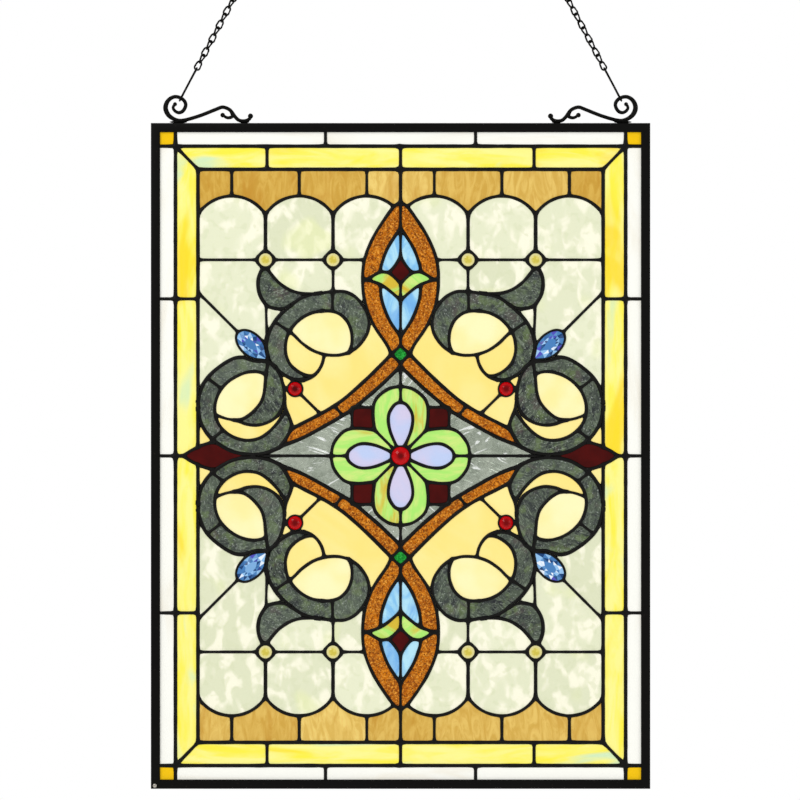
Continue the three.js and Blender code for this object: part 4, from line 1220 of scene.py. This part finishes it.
def lie_of(members):
    """The angle from upright of the longest way across a pane."""
    spots = corners[sorted({i for number in members for i in triangles[number]})]
    spots = spots - spots.mean(axis=0)
    spread = spots.T @ spots
    _, ways = np.linalg.eigh(spread)
    x, z = ways[:, 1]
    return math.atan2(x, z)


def slab(members, loops, vertices, faces):
    """Adds one pane's slab and says how many vertices it has."""
    place = {}
    for number in members:
        for corner in triangles[number]:
            place.setdefault(corner, corners[corner])
    for loop in loops:
        for corner, way in zip(loop, inward(loop)):
            place[corner] = corners[corner] + PANE_GAP * way
    order = {corner: i for i, corner in enumerate(place)}
    base, count = len(vertices), len(place)
    for y in (-GLASS_THICKNESS / 2, GLASS_THICKNESS / 2):
        vertices.extend((x, y, z) for x, z in place.values())
    for number in members:
        a, b, c = (base + order[i] for i in triangles[number])
        faces.append((a, b, c))
        faces.append((c + count, b + count, a + count))
    for loop in loops:
        for start, end in zip(loop, loop[1:] + loop[:1]):
            a, b = base + order[start], base + order[end]
            faces.append((a, a + count, b + count, b))
    return 2 * count


def mark(mesh, name, kind, field, numbers):
    """Writes a number or a vector on every vertex, for the finish to read."""
    mesh.attributes.new(name, kind, "POINT").data.foreach_set(field, numbers)


glasses = {  # finish, slot, how wide a part of the panel one object takes, solid, and how the streaks lie
    "field": ("cream_mottled", "field_glass", "quarter", "field_glass", 0),
    "scroll": ("scroll_streaky", "field_glass", "quarter", "field_glass", "along"),
    "oval": ("pale_cream", "field_glass", "quarter", "field_glass", 0),
    "warm": ("warm_cream", "field_glass", "quarter", "field_glass", 40),
    "block": ("dark_red", "garnet_glass", "quarter", "corner_block_glass", 0),
    "almond": ("amber_hammered", "amber_glass", "level", "almond_glass", 0),
    "ribbon": ("amber_hammered", "amber_glass", "level", "ribbon_glass", 0),
    "emerald": ("emerald_hammered", "emerald_glass", "level", "emerald_glass", 0),
    "heart": ("blue_rippled", "blue_glass", "level", "heart_blue_glass", "along"),
    "drop": ("blue_rippled", "blue_glass", "level", "heart_drop_glass", "along"),
    "leaf": ("green_streaky", "green_glass", "level", "heart_leaf_glass", "along"),
    "kite": ("dark_red", "green_glass", "level", "heart_leaf_glass", 0),
    "upright_petal": ("lilac_opal", "lilac_glass", "level", "petal_glass", 0),
    "level_petal": ("lilac_opal", "lilac_glass", "side", "petal_glass", 0),
    "upright_ripple": ("clear_ripple", "ripple_glass", "level", "ripple_glass", "along"),
    "level_ripple": ("clear_ripple", "ripple_glass", "side", "ripple_glass", "along"),
    "side_leaf": ("dark_red", "garnet_glass", "side", "leaf_glass", 0),
    "tan": ("tan_wispy", "tan_glass", "level", "tan_row_glass", 0),
    "lobe": ("green_streaky", "green_glass", "panel", "lobe_glass", "along"),
    "white": ("white_opal", "white_glass", "panel", "white_border_glass", "along"),
    "corner": ("corner_amber", "white_glass", "panel", "white_border_glass", 0),
    "yellow": ("yellow_streaky", "yellow_glass", "panel", "yellow_border_glass", "along"),
}


def part_of_panel(members, share):
    """The beginning of a piece's name: the quarter, level or side that its pane lies in."""
    x, z = middle_of(members)
    side = "left" if x < 0 else "right"
    level = "lower" if z < 0 else "upper"
    return {"quarter": f"{side}_{level}_", "level": f"{level}_", "side": f"{side}_", "panel": ""}[share]


groups = {}
for number, members in enumerate(panes):
    kind = pane_kind[number]
    if kind in glasses:
        groups.setdefault((part_of_panel(members, glasses[kind][2]), kind), []).append(number)
for (prefix, kind), numbers in sorted(groups.items()):
    finish_name, slot, share, node, lie = glasses[kind]
    vertices, faces, marks = [], [], []
    for number in numbers:
        count = slab(panes[number], pane_loops[number], vertices, faces)
        if lie == "along":
            turn = lie_of(panes[number])
        else:
            turn = math.radians(lie) + chance.uniform(-MOST_ASKEW, MOST_ASKEW)
        cut = (chance.uniform(-2, 2), chance.uniform(-0.5, 0.5), chance.uniform(-2, 2))
        marks += [(cut, turn, chance.random())] * count
    piece = add_mesh(f"{prefix}{kind}_panes", vertices, faces, smooth=False)
    cuts, turns, tones = zip(*marks)
    mark(piece.data, "cut", "FLOAT_VECTOR", "vector", [number for cut in cuts for number in cut])
    mark(piece.data, "turn", "FLOAT", "value", turns)
    mark(piece.data, "tone", "FLOAT", "value", tones)
    dress(piece, finish_name, slot, prefix + node)
print(sum(len(numbers) for numbers in groups.values()), "panes in", len(groups), "objects")

# %% [markdown]
# ## Cut jewels
# A round jewel has a girdle, a crown of facets and a small table. A teardrop is cut the same way round its
# own outline. Each facet has its own corners, so that it stays flat and can have its own tone.

# %% Jewels
JEWEL_BACK = 1.5
GIRDLE_FRONT = -2.0
CROWN_FRONT = -3.9
TABLE_FRONT = -4.75
CROWN_SHARE = 0.68
TABLE_SHARE = 0.40
DROP_OUTSET = 0.4
DROP_FACETS = 11


def cut_jewel(name, centre, outline, finish_name, slot, node, seed):
    """A jewel with a crown and a table cut over its outline, which is given round the jewel's middle."""
    shades = random.Random(seed)
    rim = [np.array(point) for point in outline]
    count = len(rim)
    crown_ring = [CROWN_SHARE * (rim[i] + rim[(i + 1) % count]) / 2 for i in range(count)]
    table_ring = [TABLE_SHARE * rim[(i + 1) % count] for i in range(count)]
    back, girdle = [(*p, JEWEL_BACK) for p in rim], [(*p, GIRDLE_FRONT) for p in rim]
    crown_top = [(*p, CROWN_FRONT) for p in crown_ring]
    table = [(*p, TABLE_FRONT) for p in table_ring]
    facets = [back[::-1], table]
    for i in range(count):
        after = (i + 1) % count
        facets += [[back[i], back[after], girdle[after], girdle[i]],
                   [girdle[i], girdle[after], crown_top[i]],
                   [crown_top[i], girdle[after], crown_top[after]],
                   [crown_top[i], crown_top[after], table[i]],
                   [crown_top[after], table[after], table[i]]]
    vertices, faces, tones = [], [], []
    for facet in facets:
        faces.append(tuple(range(len(vertices), len(vertices) + len(facet))))
        tones += [shades.random()] * len(facet)
        vertices += [(x / 1000, y / 1000, z / 1000) for x, z, y in facet]
    mesh = bpy.data.meshes.new(name)
    mesh.from_pydata(vertices, [], faces)
    mark(mesh, "tone", "FLOAT", "value", tones)
    piece = bpy.data.objects.new(name, mesh)
    piece.location = (centre[0] / 1000, 0, centre[1] / 1000 + MIDDLE_HEIGHT)
    bpy.context.collection.objects.link(piece)
    dress(piece, finish_name, slot, node)


def round_outline(radius, facets):
    """A round jewel's outline."""
    turns = 2 * math.pi * np.arange(facets) / facets
    return [radius * np.array([math.cos(t), math.sin(t)]) for t in turns]


jewel_looks = {  # finish, slot, radius and facets
    "centre_jewel": ("ruby_jewel", "ruby_jewel", 8.4, 16),
    "ruby_jewel": ("ruby_jewel", "ruby_jewel", 6.3, 14),
    "inner_gold_jewel": ("gold_jewel", "gold_jewel", 6.0, 14),
    "outer_gold_jewel": ("gold_jewel", "gold_jewel", 6.0, 14),
}
made = 0
for out, side in ((-1, "left"), (1, "right")):
    for up, level in ((-1, "lower"), (1, "upper")):
        for name, (place, *_) in seats.items():
            finish_name, slot, radius, facets = jewel_looks[name]
            node = name if name == "centre_jewel" else f"{side}_{level}_{name}"
            if name != "centre_jewel" or (out, up) == (1, 1):
                spot = on_field(place) * (out, up)
                cut_jewel(node + "_cut", spot, round_outline(radius, facets), finish_name, slot, node, made)
                made += 1
        drop = [point * (out, up) for point in teardrop(DROP_OUTSET, DROP_FACETS)[:-1]]
        drop = drop if out * up > 0 else drop[::-1]
        spot = sum(drop) / len(drop)
        node = f"{side}_{level}_teardrop_jewel"
        cut_jewel(node + "_cut", spot, [p - spot for p in drop], "blue_jewel", "blue_jewel", node, 40 + made)
        made += 1
print(made, "jewels")

# %% [markdown]
# ## The channel
# The frame is a U-shaped black channel with rounded edges, mitred at its corners. One cross section is swept
# round the rectangle: each of its points has four corners, at its own distance from the outside.

# %% Frame
EDGE_ROUND = 1.3
GROOVE_HALF = 1.8
GROOVE_BOTTOM = FRAME_FACE - 4
SOLDER_MARK_REACH = 1.9
SOLDER_MARK_LIFT = 0.55


def rounded(corner_u, corner_y, start_angle):
    """A quarter round at one corner of the cross section."""
    return [(corner_u + EDGE_ROUND * math.cos(math.radians(start_angle + a)),
             corner_y + EDGE_ROUND * math.sin(math.radians(start_angle + a))) for a in range(0, 91, 18)]


near, far, deep = EDGE_ROUND, FRAME_FACE - EDGE_ROUND, FRAME_DEPTH / 2 - EDGE_ROUND
profile = [
    *rounded(far, -deep, 270), (FRAME_FACE, -GROOVE_HALF), (GROOVE_BOTTOM, -GROOVE_HALF),
    (GROOVE_BOTTOM, GROOVE_HALF), (FRAME_FACE, GROOVE_HALF), *rounded(far, deep, 0),
    *rounded(near, deep, 90), *rounded(near, -deep, 180),
]
vertices, faces = [], []
for out, up in ((1, 1), (-1, 1), (-1, -1), (1, -1)):
    vertices += [(out * (PANEL_WIDTH / 2 - u), y, up * (PANEL_HEIGHT / 2 - u)) for u, y in profile]
size = len(profile)
for bar in range(4):
    for i in range(size):
        after = (i + 1) % size
        next_bar = (bar + 1) % 4 * size
        faces.append((bar * size + i, bar * size + after, next_bar + after, next_bar + i))
dress(add_mesh("channel_frame", vertices, faces, sharp_from=40), "black_channel", "black_metal", "frame")


def dome(centre, reach, lift, sides=16, tiers=4):
    """A low dome of solder that faces forwards, as vertices and faces."""
    x, y, z = centre
    spots = [(x, y - lift, z)]
    cells = []
    for tier in range(1, tiers + 1):
        bend = math.pi / 2 * tier / tiers
        spots += [(x + reach * math.sin(bend) * math.cos(t), y - lift * math.cos(bend),
                   z + reach * math.sin(bend) * math.sin(t)) for t in 2 * math.pi * np.arange(sides) / sides]
    for i in range(sides):
        after = (i + 1) % sides
        cells.append((0, 1 + i, 1 + after))
        for tier in range(tiers - 1):
            low = 1 + tier * sides
            cells.append((low + i, low + sides + i, low + sides + after, low + after))
    return spots, cells


corner_x, corner_z = PANEL_WIDTH / 2 - FRAME_FACE / 2, PANEL_HEIGHT / 2 - FRAME_FACE / 2
mark_place = (-corner_x - 0.6, -4.3, -corner_z - 1.2)
spots, cells = dome(mark_place, SOLDER_MARK_REACH, SOLDER_MARK_LIFT)
dress(add_mesh("bright_solder_mark", spots, cells), "bright_solder", "black_metal", "frame")
print("frame made of", size, "profile points")

# %% [markdown]
# ## Bent wire
# Scrolls, hooks and chain links are all round wire. A tube is swept along each run of points, with a frame
# that is carried from point to point so that it never twists by itself.

# %% Wire tool
def tube(run, radii, sides=12, closed=False):
    """A round tube along points, as vertices and faces."""
    run = [Vector(point) for point in run]
    count = len(run)
    spots, cells = [], []
    ways = []
    for i in range(count):
        before = run[i - 1] if i or closed else run[i]
        after = run[(i + 1) % count] if i < count - 1 or closed else run[i]
        ways.append((after - before).normalized())
    across = ways[0].orthogonal().normalized()
    for i, (point, way) in enumerate(zip(run, ways)):
        across = (across - way * across.dot(way)).normalized()
        up = way.cross(across)
        radius = radii[i] if hasattr(radii, "__len__") else radii
        for k in range(sides):
            turn = 2 * math.pi * k / sides
            spots.append(tuple(point + (across * math.cos(turn) + up * math.sin(turn)) * radius))
    twist = 0
    if closed:
        first = Vector(spots[0]) - run[0]
        last_across = (across - ways[0] * across.dot(ways[0])).normalized()
        angle = math.atan2(first.cross(last_across).dot(ways[0]), first.dot(last_across))
        twist = round(angle / (2 * math.pi / sides))
    for i in range(count if closed else count - 1):
        after = (i + 1) % count
        shift = -twist if closed and after == 0 else 0
        for k in range(sides):
            a, b = i * sides + k, i * sides + (k + 1) % sides
            c, d = after * sides + (k + 1 + shift) % sides, after * sides + (k + shift) % sides
            cells.append((a, b, c, d))
    if not closed:
        cells.append(tuple(range(sides - 1, -1, -1)))
        cells.append(tuple(range((count - 1) * sides, count * sides)))
    return spots, cells


def ball(centre, radius, sides=14, rings=8):
    """A round ball, as vertices and faces."""
    x, y, z = centre
    heights = [math.pi * i / rings for i in range(rings + 1)]
    run = [(x, y, z - radius * math.cos(h)) for h in heights]
    return tube(run, [max(0.01, radius * math.sin(h)) for h in heights], sides)


def together(shapes):
    """Several shapes as one list of vertices and faces."""
    vertices, faces = [], []
    for spots, cells in shapes:
        base = len(vertices)
        vertices += spots
        faces += [tuple(i + base for i in cell) for cell in cells]
    return vertices, faces


def wire_curve(points, step):
    """A smooth curve through flat points, sampled evenly."""
    flat_points = [np.array(point, float) for point in points]
    dense = smooth_run(flat_points)
    lengths = np.concatenate([[0], np.cumsum([np.linalg.norm(b - a) for a, b in zip(dense, dense[1:])])])
    wanted = np.linspace(0, lengths[-1], max(4, round(lengths[-1] / step)))
    return [(np.interp(w, lengths, [p[0] for p in dense]), np.interp(w, lengths, [p[1] for p in dense]))
            for w in wanted]


print("wire tool ready")

# %% [markdown]
# ## The two scrolls
# Each scroll is one wire: a curl round a hook, a long wave along the top bar, and a ball at its foot, with a
# small leaf under its arm. Solder pads hold it to the bar.

# %% Scrolls
SCROLL_WIRE = 3.4
POINT_STEPS = 12
SWELL = 0.35
SWELL_AT = 43
SWELL_SPREAD = 9
ARM_END_BALL, LEAF_BALL, ARM_START_BALL = 2.45, 2.2, 1.9
PAD_RADIUS = 1.15
PAD_LIFT = 1.2
scroll_line = [
    (21.9, 17.5), (20.1, 14.8), (21.4, 11.7), (25.0, 9.7), (28.5, 10.7), (31.1, 14.2), (31.6, 18.4),
    (28.5, 22.4), (22.9, 24.4), (17.9, 22.9), (14.3, 18.8), (13.3, 13.2), (16.3, 7.1), (22.9, 3.1),
    (30.1, 2.8), (44.3, 6.8), (59.6, 12.8), (65.7, 14.8), (72.3, 12.2), (76.9, 6.1), (81.0, 2.5),
    (86.6, 2.2), (90.1, 4.0), (91.1, 6.6),
]
scroll_leaf = [(73.7, 10.5), (74.6, 6.4), (70.0, 5.0), (65.6, 7.5)]
top = PANEL_HEIGHT / 2
for out, side in ((-1, "left"), (1, "right")):
    def standing(points):
        """Points given from the panel's upper corner, stood on the top bar of this side."""
        return [(out * (PANEL_WIDTH / 2 - inset), 0, top + rise) for inset, rise in points]

    arm = standing(wire_curve(scroll_line, 1.2))
    radii = []
    for i in range(len(arm)):
        swell = SWELL * math.exp(-((i - SWELL_AT) / SWELL_SPREAD) ** 2)
        radii.append(SCROLL_WIRE / 2 * (0.78 + 0.22 * min(1, i / POINT_STEPS) + swell))
    twig = standing(wire_curve(scroll_leaf, 1.0))
    shapes = [tube(arm, radii), tube(twig, [1.9 - 0.7 * i / len(twig) for i in range(len(twig))])]
    shapes += [ball(arm[-1], ARM_END_BALL), ball(twig[-1], LEAF_BALL), ball(arm[0], ARM_START_BALL)]
    for inset, length in ((25, 8), (85.5, 4.5)):
        middle = out * (PANEL_WIDTH / 2 - inset)
        foot = [(middle + x, 0, top + PAD_LIFT) for x in np.linspace(-length, length, 9)]
        swells = [math.sqrt(max(0.05, 1 - (i / 4 - 1) ** 2)) for i in range(9)]
        shapes.append(tube(foot, [PAD_RADIUS * swell + 0.05 for swell in swells]))
    scroll = add_mesh(f"{side}_wire_scroll", *together(shapes))
    dress(scroll, "black_channel", "black_metal", f"{side}_scroll")
print("two scrolls")

# %% [markdown]
# ## Hooks and chains
# A long thin hook hangs each scroll from a twisted link chain that leans inwards. Every second link is turned
# by a quarter, and each is twisted along its length. The whole chain is turned a little too, so that all of
# its links look open from the front.

# %% Hooks and chains
HOOK_WIRE = 1.6
HOOK_REACH = 29.5
HOOK_INSET = 27.4
HOOK_HEIGHT = 23
CHAIN_WIRE = 1.7
CHAIN_LINK_LENGTH = 10.3
CHAIN_LINK_WIDTH = 7
CHAIN_LINKS = 12
CHAIN_LEAN = math.radians(27.8)
END_RING_RADIUS = 5.2
END_RING_LIFT = 0.5
LINK_TWIST = math.radians(38)
FIRST_LINK_TURN = math.radians(31)
LINK_STEP = CHAIN_LINK_LENGTH - 2 * CHAIN_WIRE + 0.2


def loop_run(bend, length, turn, twist=0.0, steps=9):
    """A long loop of wire standing up from the origin, its plane turned about the upright."""
    run = []
    for centre_z, start in ((length - bend, 0), (bend, math.pi)):
        for t in np.linspace(0, math.pi, steps):
            x, z = bend * math.cos(start + t), centre_z + bend * math.sin(start + t)
            angle = turn + twist * (z / length - 0.5)
            run.append((x * math.cos(angle), x * math.sin(angle), z))
    return run


def leaned(run, out, distance):
    """A run of points moved along the line that the chain hangs on."""
    lean = Matrix.Rotation(-out * CHAIN_LEAN, 3, "Y")
    foot = Vector((out * (PANEL_WIDTH / 2 - HOOK_INSET), 0, top + HOOK_HEIGHT))
    return [foot + lean @ (Vector(point) + Vector((0, 0, distance))) for point in run]


snug = SCROLL_WIRE / 2 + 0.2 + HOOK_WIRE / 2
grip = CHAIN_WIRE / 2 + 0.2 + HOOK_WIRE / 2
quarter_turn = math.pi / 2
for out, side in ((-1, "left"), (1, "right")):
    hook = leaned(loop_run(snug, HOOK_REACH + snug + grip, quarter_turn), out, -snug)
    hook_mesh = tube(hook, HOOK_WIRE / 2, 10, closed=True)
    dress(add_mesh(f"{side}_wire_hook", *hook_mesh), "black_channel", "black_metal", f"{side}_hook")
    bend = (CHAIN_LINK_WIDTH - CHAIN_WIRE) / 2
    shapes = []
    for link in range(CHAIN_LINKS):
        turn = FIRST_LINK_TURN - link % 2 * quarter_turn
        run = loop_run(bend, CHAIN_LINK_LENGTH - CHAIN_WIRE, turn, LINK_TWIST)
        shapes.append(tube(leaned(run, out, HOOK_REACH + link * LINK_STEP), CHAIN_WIRE / 2, 10, closed=True))
    end_ring = loop_run(END_RING_RADIUS, 2 * END_RING_RADIUS, 0, steps=14)
    end_ring = leaned(end_ring, out, HOOK_REACH + CHAIN_LINKS * LINK_STEP + END_RING_LIFT)
    shapes.append(tube(end_ring, CHAIN_WIRE / 2, 10, closed=True))
    dress(add_mesh(f"{side}_link_chain", *together(shapes)), "black_channel", "black_metal", f"{side}_chain")
print("two hooks and", 2 * CHAIN_LINKS, "links")

# %% [markdown]
# ## Floor finish
# The floor is a plain pale matt.

# %% Floor
def floor_colour(place):
    return grain(place, 2, 2).step(0.2, 0.8).blend(linear(232, 231, 228), linear(238, 237, 234))


floor.data.materials.append(finish("floor_paint", floor_colour, 0.8, specular=0.2, glow=0.3))
